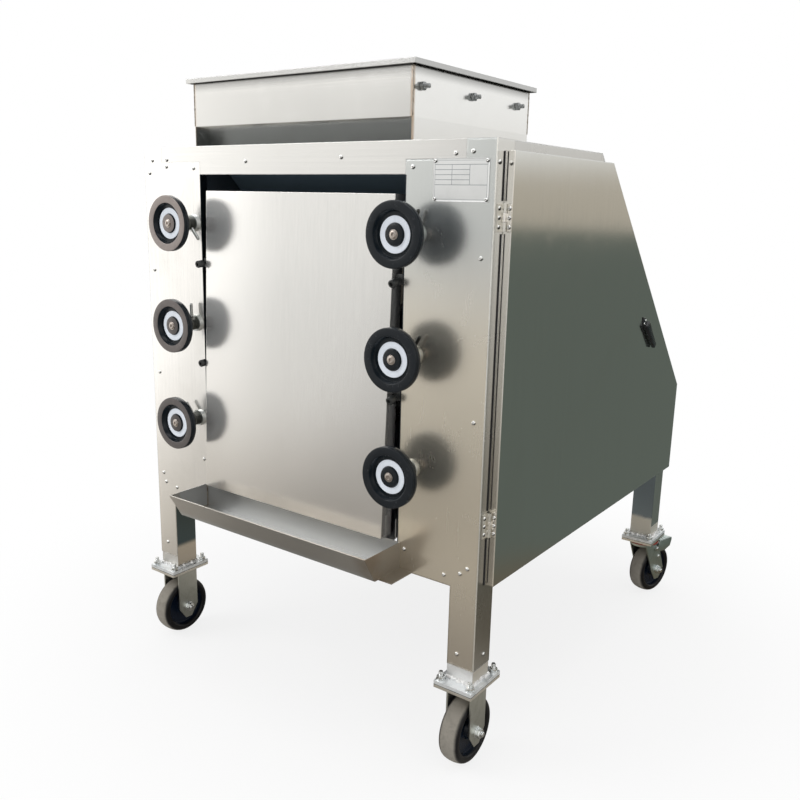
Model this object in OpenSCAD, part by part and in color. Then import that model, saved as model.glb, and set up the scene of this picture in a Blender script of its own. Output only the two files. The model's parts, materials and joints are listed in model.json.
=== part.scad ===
// Nut slicing machine: three pairs of grooved rollers in a cabinet on casters.
// Millimetres. X runs to the machine's right as seen from the front, Y to the rear and Z up from the floor.
// The pieces are laid out from the middle of the cabinet, its front skin and the floor. at_origin() then
// moves them, so that the origin lies on the floor under the middle of the whole machine.

/* [Cabinet] */
// Width over the side skins
body_w = 1000; // [960:10:1200]
// Height of the top deck above the floor
body_top_z = 1298; // [1290:1:1340]
// Depth of the flat top, before the back slopes down
flat_top_d = 470; // [466:2:520]
// Depth from the front skin to the back of the rear legs
body_d = 1104; // [1060:4:1240]
// Thickness of the stainless skins
skin_t = 1.5; // [1:0.25:2]
// Width of the front opening between the two columns
opening_w = 595; // [585:1:605]
// Height of the lower edge of the front columns
column_foot_z = 409; // [380:1:420]
// Height of the lower edge of the leg cladding
clad_foot_z = 233; // [220:1:260]
// Height of the lower edge of the front top beam
beam_foot_z = 1234; // [1220:1:1245]
// Height of the seam where the beam laps over the columns
beam_lap_z = 1262; // [1255:1:1270]
// Depth of the folds along the inner edges of the columns
column_fold = 20; // [16:1:24]

/* [Legs and rails] */
// Side of the square leg tube
leg_tube = 63.5; // [56:0.5:70]
// Side of the square rail tube
rail_tube = 40; // [36:1:44]
// Wall of both tubes
tube_wall = 3; // [2:0.5:4]
// Height of the leg ends, on their foot plates
leg_foot_z = 200; // [195:1:205]
// Thickness of the foot plates
foot_plate_t = 9; // [7:1:11]
// Gap left at a welded butt joint
weld_gap = 0.2; // [0.1:0.1:0.3]

/* [Front panel] */
// Width of the panel
panel_w = 551; // [540:1:560]
// Height of its upper edge
panel_top_z = 1197; // [1180:1:1210]
// Height of its lower edge
panel_foot_z = 480; // [478:1:500]
// How far the upper edge stands in front of the columns
panel_top_out = 2; // [1:0.5:6]
// How far the lower edge stands in front of the columns
panel_foot_out = 28.5; // [20:0.5:34]
// Depth of the folds along its sides
panel_fold = 34; // [32:1:44]
// Heights of the fixing bolts in the side slots
panel_bolt_zs = [787, 1026];
// Depth of the fixing bolts behind the columns' faces
panel_bolt_y = 8; // [6:1:12]
// Radius of the fixing bolts
panel_bolt_r = 5; // [3:0.5:6]
// Radius of their black caps
panel_cap_r = 11; // [8:0.5:12]
// Length of their black caps
panel_cap_l = 13; // [8:1:16]

/* [Discharge] */
// Length of the tray
tray_l = 610; // [600:2:640]
// Depth of the tray over its lip
tray_d = 121.25; // [110:0.25:130]
// Depth of the tray's floor
tray_floor_d = 84; // [70:1:95]
// Height of the tray's floor
tray_floor_z = 411; // [400:1:420]
// Height of the tray's rim
tray_rim_z = 471; // [460:1:474]
// Height of the fold along the tray's lip
tray_hem = 7; // [4:1:10]
// Thickness of that fold
tray_hem_t = 4; // [3:0.5:5]
// How far the floor runs on past the right end, as a fixing ear
tray_ear = 35; // [20:1:45]
// Width of the fixing ear
tray_ear_d = 75; // [50:1:80]
// Width of the chute over its cheeks
chute_w = 580; // [562:1:584]
// Slope of the chute
chute_angle = 18; // [15:0.5:18.5]
// Thickness of the chute's sheet
chute_t = 2; // [1.5:0.5:3]
// How far the chute's lip reaches out over the tray
chute_lip = 3; // [2:0.5:6]
// How far back the chute reaches
chute_d = 330; // [320:1:345]
// Height of the chute's cheeks
chute_cheek = 44; // [30:1:46]
// Height of the cheeks under the rear roller
chute_cheek_low = 8; // [4:0.5:9]
// Side of the square bar that carries the chute
chute_bar = 20; // [16:1:24]
// Distance of that bar behind the columns' faces
chute_bar_y = 240; // [200:1:280]

/* [Hopper] */
// Width of the hopper over its end plates
hopper_w = 620; // [610:1:622]
// Depth of the hopper over its walls
hopper_d = 462; // [456:1:464]
// Distance of the hopper's front wall behind the columns' faces
hopper_y = 1; // [0.5:0.5:3]
// Height of the bend where the walls turn inwards
hopper_bend_z = 1341; // [1330:1:1350]
// Height of the underside of the rim
hopper_rim_z = 1435; // [1425:1:1460]
// Height of the rim's outer fold
hopper_rim_h = 10; // [6:1:14]
// How far the rim stands out from the walls
hopper_rim_out = 12.5; // [8:0.5:16]
// Thickness of the hopper's sheet
hopper_t = 2; // [1.5:0.5:3]
// Height of the mouth over the first roller pair
hopper_mouth_z = 1190; // [1186:1:1196]
// Distances of the guard rods behind the hopper's front wall
guard_rod_ys = [28, 215, 405];
// Height of the guard rods
guard_rod_z = 1398.5; // [1385:0.5:1410]
// Radius of the guard rods
guard_rod_r = 6; // [4:0.5:8]
// Radius of their nuts, over the corners
guard_nut_r = 10; // [9:0.5:12]
// Thickness of their nuts
guard_nut_t = 8; // [6:1:10]

/* [Rollers] */
// Height of the lowest roller pair
row_low_z = 641; // [636:1:646]
// Height from one roller pair to the next
row_pitch = 240; // [234:1:244]
// Radius of the cutting rollers
roller_r = 59; // [57:0.5:60]
// Gap between the two rollers of a pair
nip_gap = 2; // [1.5:0.5:3]
// Length of the cutting rollers
roller_l = 596; // [560:2:600]
// Spacing of the cutting rings
ring_pitch = 20; // [14:1:30]
// Width of one cutting ring
ring_w = 12; // [6:0.5:13]
// Depth of the grooves between the rings
groove_d = 5; // [3:0.5:8]
// Radius of the roller shafts
shaft_r = 15; // [14:0.5:16]
// Height of the feed roller over the first roller pair
feed_rise = 101; // [100:1:106]
// Radius of the feed roller over its ribs
feed_r = 42; // [36:1:44]
// Radius of the feed roller's core
feed_core_r = 31; // [28:1:33]
// Number of ribs on the feed roller
feed_ribs = 8; // [5:1:12]
// Width of one rib
feed_rib_w = 8; // [5:0.5:10]
// Radius of the feed roller's shaft
feed_shaft_r = 10; // [8:0.5:11]
// Number of teeth on each gear
gear_teeth = 20; // [20:4:24]
// Width of the gears
gear_w = 30; // [24:1:32]
// Play between the flanks of two meshing teeth
gear_play = 4; // [3.8:0.1:4.4]

/* [Bearings] */
// Thickness of the two bearing plates
plate_t = 28; // [26:1:30]
// Distance of the bearing plates behind the columns' faces
plate_y = 25; // [22:1:40]
// Radius of the rear bearings
bearing_r = 31; // [28:0.5:34]
// Width of the rear bearings
bearing_w = 16; // [14:1:20]
// Radius of the feed roller's bearings
feed_bearing_r = 20; // [18:0.5:21]
// Width of the feed roller's bearings
feed_bearing_w = 14; // [12:1:18]
// Height of the sliding bearing blocks
block_h = 80; // [70:1:90]
// Depth of the sliding bearing blocks
block_d = 70; // [62:1:76]
// Thickness of the cheek on each block's inner side
cheek_t = 5; // [3:0.5:6]
// How far the cheek laps over the plate above and below
cheek_lap = 8; // [5:1:12]
// How far the blocks can close from rest
close_travel = 1; // [0.5:0.25:1.25]
// How far the blocks can open from rest
open_travel = 4; // [2:0.5:5]
// Room left at the end of the travel
travel_room = 3; // [2:0.5:4]
// Sliding clearance of the blocks
slide_gap = 0.2; // [0.1:0.05:0.3]
// Running clearance of shafts, screws and pins
run_gap = 0.06; // [0.03:0.01:0.09]
// Clearance of keyed and seated rings
seat_gap = 0.03; // [0.02:0.01:0.05]

/* [Adjusters] */
// Distance of the adjusting screws from the middle
screw_x = 327; // [326:0.5:334]
// Radius of the adjusting screws
screw_r = 8; // [7:0.5:9]
// Clearance of the screw in the tapped hole of its block
thread_gap = 0.3; // [0.2:0.1:0.5]
// Depth of the tapped hole
thread_d = 15; // [12:0.5:16]
// Radius of the bush flange on the column
bush_flange_r = 20; // [17:0.5:24]
// Thickness of the bush flange
bush_flange_t = 6; // [4:0.5:8]
// Radius of the bush sleeve
bush_r = 12; // [11:0.5:13]
// Radius of the handwheels
wheel_r = 62.5; // [56:0.5:66]
// Distance of the handwheels' rims in front of the columns' faces
wheel_out = 81; // [76:1:92]
// Depth of the handwheels' rims
rim_d = 20; // [16:1:22]
// Width of the handwheels' rims
rim_w = 18; // [14:0.5:20]
// Radius of the rims' rounded edges
rim_round = 6; // [3:0.5:7]
// How far the web lies behind the face of the rim
web_drop = 9; // [7:0.5:11]
// Thickness of the web
web_t = 6; // [4:0.5:7]
// Radius of the hub
hub_r = 21; // [18:0.5:22]
// How far the hub's face lies behind the face of the rim
hub_drop = 6; // [4:0.5:8]
// Length of the hub
hub_l = 32; // [28:1:36]
// Radius of the hub at its rear end
hub_neck_r = 14; // [12:0.5:16]
// Inner radius of the white index ring
index_in_r = 22.5; // [22.25:0.25:26]
// Outer radius of the white index ring
index_out_r = 37.5; // [32:0.5:40]
// Thickness of the white index ring
index_t = 1; // [0.5:0.25:2]
// Radius of the lock collars
lock_r = 16; // [13:0.5:18]
// Length of the lock collars
lock_l = 15; // [10:1:18]
// Reach of the lock levers
lock_reach = 46; // [36:1:48]
// Radius of the lock levers
lock_rod_r = 4; // [3:0.5:5]
// Directions of the left levers, lowest row first, in degrees from +X towards +Z
lock_left = [130, 92, -48];
// Directions of the right levers, lowest row first
lock_right = [142, 60, 75];

/* [Drive] */
// Distance from the bearing plate to the gears
gear_off = 5; // [4:1:8]
// Distance from the gears to the first belt
belt_off = 8; // [6:1:12]
// Width of a pulley
pulley_w = 20; // [18:1:22]
// Distance between two pulleys side by side
pulley_off = 5; // [3:1:8]
// Belt radius of the pulleys between the roller pairs
stage_pulley_r = 48; // [44:1:50]
// Belt radius of the feed roller's pulley
feed_pulley_r = 40; // [36:1:42]
// Belt radius of the main pulley
main_pulley_r = 75; // [60:1:80]
// Belt radius of the motor pulley
motor_pulley_r = 40; // [30:1:50]
// Width of the belts
belt_w = 12; // [10:1:14]
// Thickness of the belts
belt_t = 8; // [6:0.5:9]
// Clearance between a belt and its pulley
belt_gap = 0.4; // [0.3:0.05:0.6]
// Distance of the motor shaft behind the columns' faces
motor_y = 800; // [760:5:840]
// Height of the motor shaft over the motor's feet
motor_shaft_h = 100; // [96:1:112]
// Radius of the motor's body
motor_r = 80; // [70:1:84]
// Height of the motor's cooling fins
fin_h = 9; // [6:0.5:11]
// Number of cooling fins
fin_count = 28; // [20:4:32]
// Length of the motor's body
motor_l = 300; // [240:5:340]
// Length of the fan cover
fan_l = 60; // [40:5:80]
// Radius of the motor shaft
motor_shaft_r = 14; // [12:0.5:16]
// Spacing of the two rails under the motor
motor_rail_pitch = 160; // [140:2:180]

/* [Door] */
// Distance of the door's front edge behind the columns' faces
door_y = 32.5; // [31:0.5:40]
// How far the door stands out from the cabinet
door_out = 18.5; // [16:0.5:22]
// Gap between the door and the cabinet
door_gap = 0.5; // [0.3:0.1:1]
// Height of the door's upper edge
door_top_z = 1277.5; // [1265:0.5:1285]
// Height of the door's lower edge
door_foot_z = 419.5; // [410:0.5:440]
// Distance of the door's rear edge in front of the back of the legs
door_rear_in = 11; // [6:1:30]
// Width of the fold inside the door's edges
door_fold = 14; // [10:1:20]
// Heights of the middles of the two hinges
hinge_zs = [552, 1157];
// Height of one hinge
hinge_h = 51; // [42:1:64]
// Width of the leaf on the column
hinge_leaf_w = 18; // [14:1:19]
// Thickness of the hinge leaves
hinge_t = 2; // [1.5:0.25:2.5]
// Radius of the hinge knuckle
knuckle_r = 4.5; // [4:0.25:5]
// Radius of the hinge pin
hinge_pin_r = 2.5; // [2:0.25:2.75]
// Gap between the knuckles
knuckle_gap = 0.3; // [0.2:0.1:0.5]
// Distance of the latch behind the columns' faces
latch_y = 782; // [760:1:800]
// Height of the latch
latch_z = 880; // [870:1:890]
// Length of the latch handle below its spindle
latch_l = 84; // [70:1:100]
// Length of the latch handle above its spindle
latch_tail = 24; // [16:1:30]
// Width of the latch handle
latch_w = 20; // [16:1:24]
// Thickness of the latch handle
latch_t = 12; // [8:0.5:14]
// Radius of the latch spindle's boss
latch_boss_r = 13; // [11:0.5:16]
// Height of the boss
latch_boss_h = 8.25; // [6:0.25:10]
// Radius of the latch spindle
spindle_r = 5; // [4:0.5:6]
// Length of the tongue inside the door
tongue_l = 36; // [26:1:44]
// Width of the tongue
tongue_w = 16; // [12:1:20]
// Thickness of the tongue
tongue_t = 4; // [3:0.5:5]

/* [Casters] */
// Radius of the caster wheels
tyre_r = 75; // [70:0.5:76]
// Width of the tyres
tyre_w = 50; // [42:1:52]
// Radius of the tread's crown across the tyre
tread_crown = 48; // [40:1:90]
// Radius of the wheel centres
hub_disc_r = 56; // [50:0.5:60]
// Width of the wheel hubs
wheel_hub_w = 52; // [48:1:53]
// Radius of the wheel hubs
wheel_hub_r = 20; // [16:0.5:24]
// Thickness of the wheel centres' discs
disc_t = 20; // [12:1:28]
// Radius of the axles
axle_r = 6; // [5:0.5:7]
// Inner width of the forks
fork_gap = 54; // [53:1:58]
// Thickness of the fork cheeks
fork_t = 4; // [3:0.5:5]
// Width of the fork cheeks
fork_w = 62; // [54:1:66]
// How far the cheeks reach below the axles
fork_drop = 31; // [24:1:38]
// Width of the flat under the cheeks
fork_nose = 20; // [14:1:30]
// Width of the caster plates
caster_plate_w = 92; // [90:1:104]
// Length of the caster plates
caster_plate_l = 120; // [112:1:130]
// Thickness of the caster plates
caster_plate_t = 7; // [5:0.5:8]
// Spacing of the plate bolts across the machine
bolt_pitch_x = 72; // [68:1:76]
// Spacing of the plate bolts along the machine
bolt_pitch_y = 96; // [94:1:100]
// Radius of the plate bolts
bolt_r = 5; // [4:0.5:5]
// Clearance of the bolt holes
bolt_gap = 0.4; // [0.2:0.1:0.6]
// Radius of the nuts and bolt heads, over the corners
nut_r = 9.5; // [9:0.25:10]
// Thickness of the nuts and bolt heads
nut_t = 8; // [6:0.5:9]
// Length of the bolt ends above the nuts
bolt_end = 10; // [4:1:14]
// How far the rear axles trail behind the swivels
trail = 46; // [38:1:50]
// How far the right rear caster is turned on its swivel, in degrees
swivel_rest = 14; // [0:1:40]
// Radius of the swivel heads
swivel_r = 38; // [34:0.5:40]
// Height of the swivel heads
swivel_h = 11; // [9:0.5:13]
// Gap between the swivel head and the fork crown
swivel_gap = 0.4; // [0.3:0.1:0.6]
// Thickness of the fork crowns
crown_t = 8; // [6:0.5:9]
// Radius of the kingpins
kingpin_r = 8; // [7:0.5:9]
// Radius of the kingpin nuts
kingpin_nut_r = 14; // [12:0.5:15]
// Thickness of the kingpin nuts
kingpin_nut_t = 8; // [6:0.5:9]
// Distance of the pedal pivots behind the swivels
pedal_y = 26; // [24:1:28]
// Height of the pedal pivots over the axles
pedal_rise = 77; // [75:0.5:80]
// Radius of the pedal pivots
pedal_pin_r = 4; // [3:0.5:5]
// Distance of the pedal's tread behind the swivel
pedal_tread_y = 48; // [46:1:54]
// Length of the pedal's tread
pedal_tread_l = 56; // [44:1:62]
// Thickness of the pedal's sheet
pedal_t = 3; // [2.5:0.25:3.5]
// Width of the brake shoe under the pedal
shoe_w = 36; // [24:1:44]
// Height of the brake shoe over the tyre
shoe_off = 8.5; // [8.5:0.25:10]

/* [Hidden] */
$fn = 64;
SIDES = [-1, 1];
SIDE_NAMES = ["left", "right"];
ROWS = [0, 1, 2];
ROW_NAMES = ["low", "middle", "top"];
STEEL = "silver";
ZINC = "lightsteelblue";
BLACK = "#202022";
CAST = "slategray";

// Cabinet lines
half_w = body_w / 2;
half_open = opening_w / 2;
rail_top_z = body_top_z - skin_t;
rail_foot_z = column_foot_z + skin_t;
rail_low_top = rail_foot_z + rail_tube;
beam_under_z = rail_top_z - rail_tube;
leg_x = half_w - skin_t - leg_tube / 2;
leg_y = [skin_t + leg_tube / 2, body_d - leg_tube / 2];
leg_back_y = leg_y[0] + leg_tube / 2;
rail_x = half_w - skin_t - rail_tube / 2;
rail_inner = half_w - skin_t - rail_tube;
slope_room = 4;
post_y = flat_top_d - rail_tube / 2 - slope_room;
front_rail_y = skin_t + rail_tube / 2;
function back_z(y, inset = 0) = body_top_z + flat_top_d - y - inset * sqrt(2);

// Roller lines
nip_y = hopper_y + hopper_d / 2;
pair_cd = 2 * roller_r + nip_gap;
roller_y = [nip_y - pair_cd / 2, nip_y + pair_cd / 2];
feed_z = row_z(2) + feed_rise;
function row_z(row) = row_low_z + row * row_pitch;
plate_in_x = screw_x - plate_t / 2;
plate_out_x = screw_x + plate_t / 2;
window_y = [roller_y[0] - block_d / 2 - open_travel - travel_room,
            roller_y[0] + block_d / 2 + close_travel + travel_room];
screw_end_y = roller_y[0] - block_d / 2 + thread_d - open_travel - 1.5;
wheel_front_y = -wheel_out;
wheel_hub_y = wheel_front_y + hub_drop;
lock_y = -bush_flange_t - lock_l - 0.3;

// Drive lines along the right-hand shaft ends
gear_x = plate_out_x + gear_off;
belt_in_x = gear_x + gear_w + belt_off;
belt_out_x = belt_in_x + pulley_w + pulley_off;
shaft_end_x = belt_out_x + pulley_w + 4;
motor_z = rail_low_top + motor_shaft_h;
motor_end_x = belt_out_x - 40;

// Door and caster lines
door_in_x = half_w + door_gap;
door_face_x = half_w + door_out;
door_rear_y = body_d - door_rear_in;
hinge_axis = [door_in_x + knuckle_r, door_y - knuckle_r - 0.5];
caster_top_z = leg_foot_z - foot_plate_t;
fork_top_z = caster_top_z - caster_plate_t;
axle_z = tyre_r;
crown_top_z = fork_top_z - swivel_h - swivel_gap;
fork_out = fork_gap / 2 + fork_t;
pedal_z = axle_z + pedal_rise;
pedal_tread_z = crown_top_z - pedal_t - 2;

// Reach of the whole machine, for the origin
reach_x = [-(leg_x + caster_plate_w / 2), door_face_x + latch_boss_h + latch_t];
reach_y = [-tray_d, leg_y[1] + trail + tyre_r];
origin = [(reach_x[0] + reach_x[1]) / 2, (reach_y[0] + reach_y[1]) / 2, 0];

// Shared shapes
module at_origin() { translate(-origin) children(); }
module block(low, high) { translate(low) cube(high - low); }
module along_x(x, y, z) { translate([x, y, z]) rotate([90, 0, 90]) children(); }
module along_y(x, y, z) { translate([x, y, z]) rotate([-90, 0, 0]) children(); }
module yz_sheet(x, t) { along_x(x, 0, 0) linear_extrude(t) children(); }
module xz_sheet(y, t) { translate([0, y + t, 0]) rotate([90, 0, 0]) linear_extrude(t) children(); }
module on_side(s) { mirror([s < 0 ? 1 : 0, 0, 0]) children(); }
module tube(size, length) {
    linear_extrude(length) difference() {
        square(size, center = true);
        square(size - 2 * tube_wall, center = true);
    }
}
module rail_along_x(x0, x1, y, z) { along_x(x0, y, z) tube(rail_tube, x1 - x0); }
module rail_along_y(y0, y1, x, z) { along_y(x, y0, z) tube(rail_tube, y1 - y0); }
module slot_2d(length, width) {
    translate([0, -width / 2]) square([length, width]);
    circle(d = width);
    translate([length, 0]) circle(d = width);
}
module ring(outer_r, inner_r, length) {
    difference() {
        cylinder(r = outer_r, h = length);
        translate([0, 0, -1]) cylinder(r = inner_r, h = length + 2);
    }
}

// Frame
module frame_legs() {
    color(STEEL) for (s = SIDES, i = [0, 1]) difference() {
        union() {
            translate([s * leg_x, leg_y[i], leg_foot_z])
                tube(leg_tube, (i == 0 ? rail_top_z : back_z(leg_y[1] - leg_tube / 2)) - leg_foot_z);
            translate([s * leg_x - caster_plate_w / 2, leg_y[i] - caster_plate_l / 2, caster_top_z])
                cube([caster_plate_w, caster_plate_l, foot_plate_t]);
        }
        plate_bolt_holes(s, leg_y[i]);
        if (i == 1) yz_sheet(s * leg_x - leg_tube, 2 * leg_tube) above_slope_2d(skin_t + weld_gap);
    }
}
module above_slope_2d(inset) {
    polygon([[flat_top_d - body_top_z, back_z(flat_top_d - body_top_z, inset)],
             [body_d + body_top_z, back_z(body_d + body_top_z, inset)],
             [body_d + body_top_z, back_z(flat_top_d - body_top_z, inset)]]);
}
module plate_bolt_places(s, y) {
    for (dx = [-1, 1], dy = [-1, 1])
        translate([s * leg_x + dx * bolt_pitch_x / 2, y + dy * bolt_pitch_y / 2, 0]) children();
}
module plate_bolt_holes(s, y) {
    plate_bolt_places(s, y)
        translate([0, 0, fork_top_z - 1]) cylinder(r = bolt_r + bolt_gap, h = leg_foot_z - fork_top_z + 2);
}
module frame_rails() {
    cross_x = leg_x - leg_tube / 2 - weld_gap;
    span_x = rail_inner - weld_gap;
    low_z = rail_foot_z + rail_tube / 2;
    high_z = rail_top_z - rail_tube / 2;
    side_end = leg_y[1] - leg_tube / 2 - weld_gap;
    color(STEEL) {
        for (z = [low_z, high_z]) rail_along_x(-cross_x, cross_x, front_rail_y, z);
        rail_along_x(-span_x, span_x, post_y, high_z);
        rail_along_x(-span_x, span_x, post_y, low_z);
        rail_along_x(-cross_x, cross_x, leg_y[1], low_z);
        for (dy = [-1, 1]) rail_along_x(-span_x, span_x, motor_y + dy * motor_rail_pitch / 2, low_z);
        for (s = SIDES) {
            rail_along_y(leg_back_y + weld_gap, side_end, s * rail_x, low_z);
            rail_along_y(leg_back_y + weld_gap, post_y - rail_tube / 2 - weld_gap, s * rail_x, high_z);
            translate([s * rail_x, post_y, rail_low_top + weld_gap])
                tube(rail_tube, rail_top_z - rail_low_top - weld_gap);
            sloped_rail(s, post_y + rail_tube / 2 + weld_gap, side_end);
        }
    }
}
module sloped_rail(s, y0, y1) {
    inset = skin_t + weld_gap;
    difference() {
        yz_sheet(s * rail_x - rail_tube / 2, rail_tube) slope_band_2d(y0, y1, inset, rail_tube);
        yz_sheet(s * rail_x - rail_tube / 2 + tube_wall, rail_tube - 2 * tube_wall)
            slope_band_2d(y0 - 1, y1 + 1, inset + tube_wall, rail_tube - 2 * tube_wall);
    }
}
module slope_band_2d(y0, y1, inset, thick) {
    over = back_z(y0, inset) - rail_top_z + weld_gap;
    top = over > 0 ? [[y0, back_z(y0, inset) - over], [y0 + over, back_z(y0 + over, inset)]]
                   : [[y0, back_z(y0, inset)]];
    polygon(concat(top, [[y1, back_z(y1, inset)], [y1, back_z(y1, inset + thick)],
                         [y0, back_z(y0, inset + thick)]]));
}

// Skins
module front_column() {
    clad_in = leg_x - leg_tube / 2;
    bush_hole_r = bush_r + thread_gap;
    difference() {
        union() {
            xz_sheet(0, skin_t) polygon([
                [half_open, column_foot_z], [clad_in, column_foot_z], [clad_in, clad_foot_z],
                [half_w, clad_foot_z], [half_w, body_top_z], [clad_in, body_top_z],
                [clad_in, beam_lap_z], [half_open, beam_lap_z]]);
            block([half_w - skin_t, 0, clad_foot_z], [half_w, leg_back_y, body_top_z]);
            block([half_open, 0, rail_low_top + weld_gap],
                  [half_open + skin_t, column_fold, beam_under_z - weld_gap]);
        }
        for (row = ROWS) along_y(screw_x, -1, row_z(row)) cylinder(r = bush_hole_r, h = skin_t + 2);
    }
}
module left_front_column() { color(STEEL) on_side(-1) front_column(); }
module right_front_column() { color(STEEL) on_side(1) front_column(); }
module front_top_beam() {
    lap_x = leg_x - leg_tube / 2 - weld_gap;
    drop_x = half_open - weld_gap;
    lap_z = beam_lap_z + weld_gap;
    color(STEEL) {
        xz_sheet(0, skin_t) polygon([
            [-lap_x, lap_z], [-drop_x, lap_z], [-drop_x, beam_foot_z], [drop_x, beam_foot_z],
            [drop_x, lap_z], [lap_x, lap_z], [lap_x, body_top_z], [-lap_x, body_top_z]]);
        block([-drop_x, 0, beam_foot_z], [drop_x, column_fold, beam_foot_z + skin_t]);
    }
}
module panel_band_2d(depth) {
    polygon([[-panel_top_out, panel_top_z], [-panel_foot_out, panel_foot_z],
             [-panel_foot_out + depth, panel_foot_z], [-panel_top_out + depth, panel_top_z]]);
}
module front_panel() {
    color(STEEL) {
        yz_sheet(-panel_w / 2, panel_w) panel_band_2d(skin_t);
        for (x = [-panel_w / 2, panel_w / 2 - skin_t]) yz_sheet(x, skin_t) panel_band_2d(panel_fold);
        block([-panel_w / 2, -panel_top_out, panel_top_z - skin_t],
              [panel_w / 2, -panel_top_out + panel_fold, panel_top_z]);
    }
}
module panel_bolts() {
    slot_w = half_open - panel_w / 2;
    color(BLACK) for (s = SIDES, z = panel_bolt_zs) on_side(s) along_x(panel_w / 2, panel_bolt_y, z) {
        cylinder(r = panel_bolt_r, h = slot_w);
        translate([0, 0, 1]) cylinder(r = panel_cap_r, h = panel_cap_l);
    }
}
module top_deck() {
    mouth_in = body_top_z - hopper_bend_z;
    hole_x = hopper_w / 2 + 1;
    hole_y = [hopper_y - mouth_in - 2, hopper_y + hopper_d + mouth_in + 2];
    color(STEEL) difference() {
        block([-half_w + skin_t, skin_t, rail_top_z], [half_w - skin_t, flat_top_d, body_top_z]);
        block([-hole_x, hole_y[0], rail_top_z - 1], [hole_x, hole_y[1], body_top_z + 1]);
    }
}
module rear_cover() {
    back_y = body_d + skin_t;
    color(STEEL) yz_sheet(-half_w + skin_t, body_w - 2 * skin_t) polygon([
        [flat_top_d, body_top_z], [back_y, back_z(back_y)], [back_y, column_foot_z],
        [body_d, column_foot_z], [body_d, back_z(body_d, skin_t)], [flat_top_d, back_z(flat_top_d, skin_t)]]);
}
module left_side_panel() {
    back_y = body_d + skin_t;
    color(STEEL) yz_sheet(-half_w, skin_t) polygon([
        [leg_back_y + weld_gap, column_foot_z], [back_y, column_foot_z], [back_y, back_z(back_y)],
        [flat_top_d, body_top_z], [leg_back_y + weld_gap, body_top_z]]);
}

// Discharge
module discharge_tray() {
    lip_in = tray_d - tray_floor_d;
    color(STEEL) {
        yz_sheet(-tray_l / 2, tray_l) polygon([
            [0, tray_floor_z], [0, tray_rim_z], [-skin_t, tray_rim_z], [-skin_t, tray_floor_z + skin_t],
            [-tray_floor_d, tray_floor_z + skin_t], [-tray_d + skin_t, tray_rim_z],
            [-tray_d, tray_rim_z], [-tray_floor_d - skin_t, tray_floor_z]]);
        for (x = [-tray_l / 2, tray_l / 2 - skin_t]) yz_sheet(x, skin_t) polygon([
            [0, tray_floor_z], [0, tray_rim_z], [-tray_d, tray_rim_z],
            [-tray_floor_d - skin_t, tray_floor_z]]);
        yz_sheet(-tray_l / 2, tray_l) polygon([
            [-tray_d, tray_rim_z], [-tray_d + tray_hem_t, tray_rim_z],
            [-tray_d + tray_hem_t + lip_in * tray_hem / (tray_rim_z - tray_floor_z), tray_rim_z - tray_hem],
            [-tray_d + lip_in * tray_hem / (tray_rim_z - tray_floor_z), tray_rim_z - tray_hem]]);
        block([tray_l / 2 - skin_t, -tray_ear_d, tray_floor_z],
              [tray_l / 2 + tray_ear, 0, tray_floor_z + skin_t]);
    }
}
function chute_z(y) = tray_rim_z + weld_gap + (y + chute_lip) * tan(chute_angle);
module discharge_chute() {
    bar_top = chute_z(chute_bar_y);
    bar_end = chute_bar_y + chute_bar;
    cheek_y = column_fold / 4;
    color(STEEL) {
        yz_sheet(-chute_w / 2, chute_w) polygon([
            [-chute_lip, chute_z(-chute_lip)], [chute_d, chute_z(chute_d)],
            [chute_d, chute_z(chute_d) + chute_t], [-chute_lip, chute_z(-chute_lip) + chute_t]]);
        for (x = [-chute_w / 2, chute_w / 2 - chute_t]) yz_sheet(x, chute_t) polygon([
            [cheek_y, chute_z(cheek_y)], [chute_d, chute_z(chute_d)],
            [chute_d, chute_z(chute_d) + chute_cheek_low],
            [roller_y[1], chute_z(roller_y[1]) + chute_cheek_low],
            [nip_y, chute_z(nip_y) + chute_cheek], [cheek_y, chute_z(cheek_y) + chute_cheek]]);
        block([-plate_in_x, chute_bar_y, bar_top - chute_bar], [plate_in_x, bar_end, bar_top + 1]);
    }
}

// Hopper
module hopper_wall_2d(outer_y, turn) {
    drop = hopper_bend_z - hopper_mouth_z;
    skew = hopper_t * tan(22.5);
    polygon([[outer_y, hopper_rim_z + hopper_rim_h], [outer_y, hopper_bend_z],
             [outer_y + turn * drop, hopper_mouth_z],
             [outer_y + turn * (drop + hopper_t * sqrt(2)), hopper_mouth_z],
             [outer_y + turn * hopper_t, hopper_bend_z + skew],
             [outer_y + turn * hopper_t, hopper_rim_z + hopper_rim_h]]);
}
module hopper_end_2d() {
    drop = hopper_bend_z - hopper_mouth_z;
    above = hopper_bend_z - body_top_z;
    y0 = hopper_y;
    y1 = hopper_y + hopper_d;
    difference() {
        polygon([[y0, hopper_rim_z + hopper_rim_h], [y0, body_top_z], [y0 + above, body_top_z],
                 [y0 + drop, hopper_mouth_z], [y1 - drop, hopper_mouth_z], [y1 - above, body_top_z],
                 [y1, body_top_z], [y1, hopper_rim_z + hopper_rim_h]]);
        translate([nip_y, feed_z]) circle(r = feed_shaft_r + 4);
        for (y = guard_rod_ys) translate([hopper_y + y, guard_rod_z]) circle(r = guard_rod_r + seat_gap);
    }
}
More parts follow.
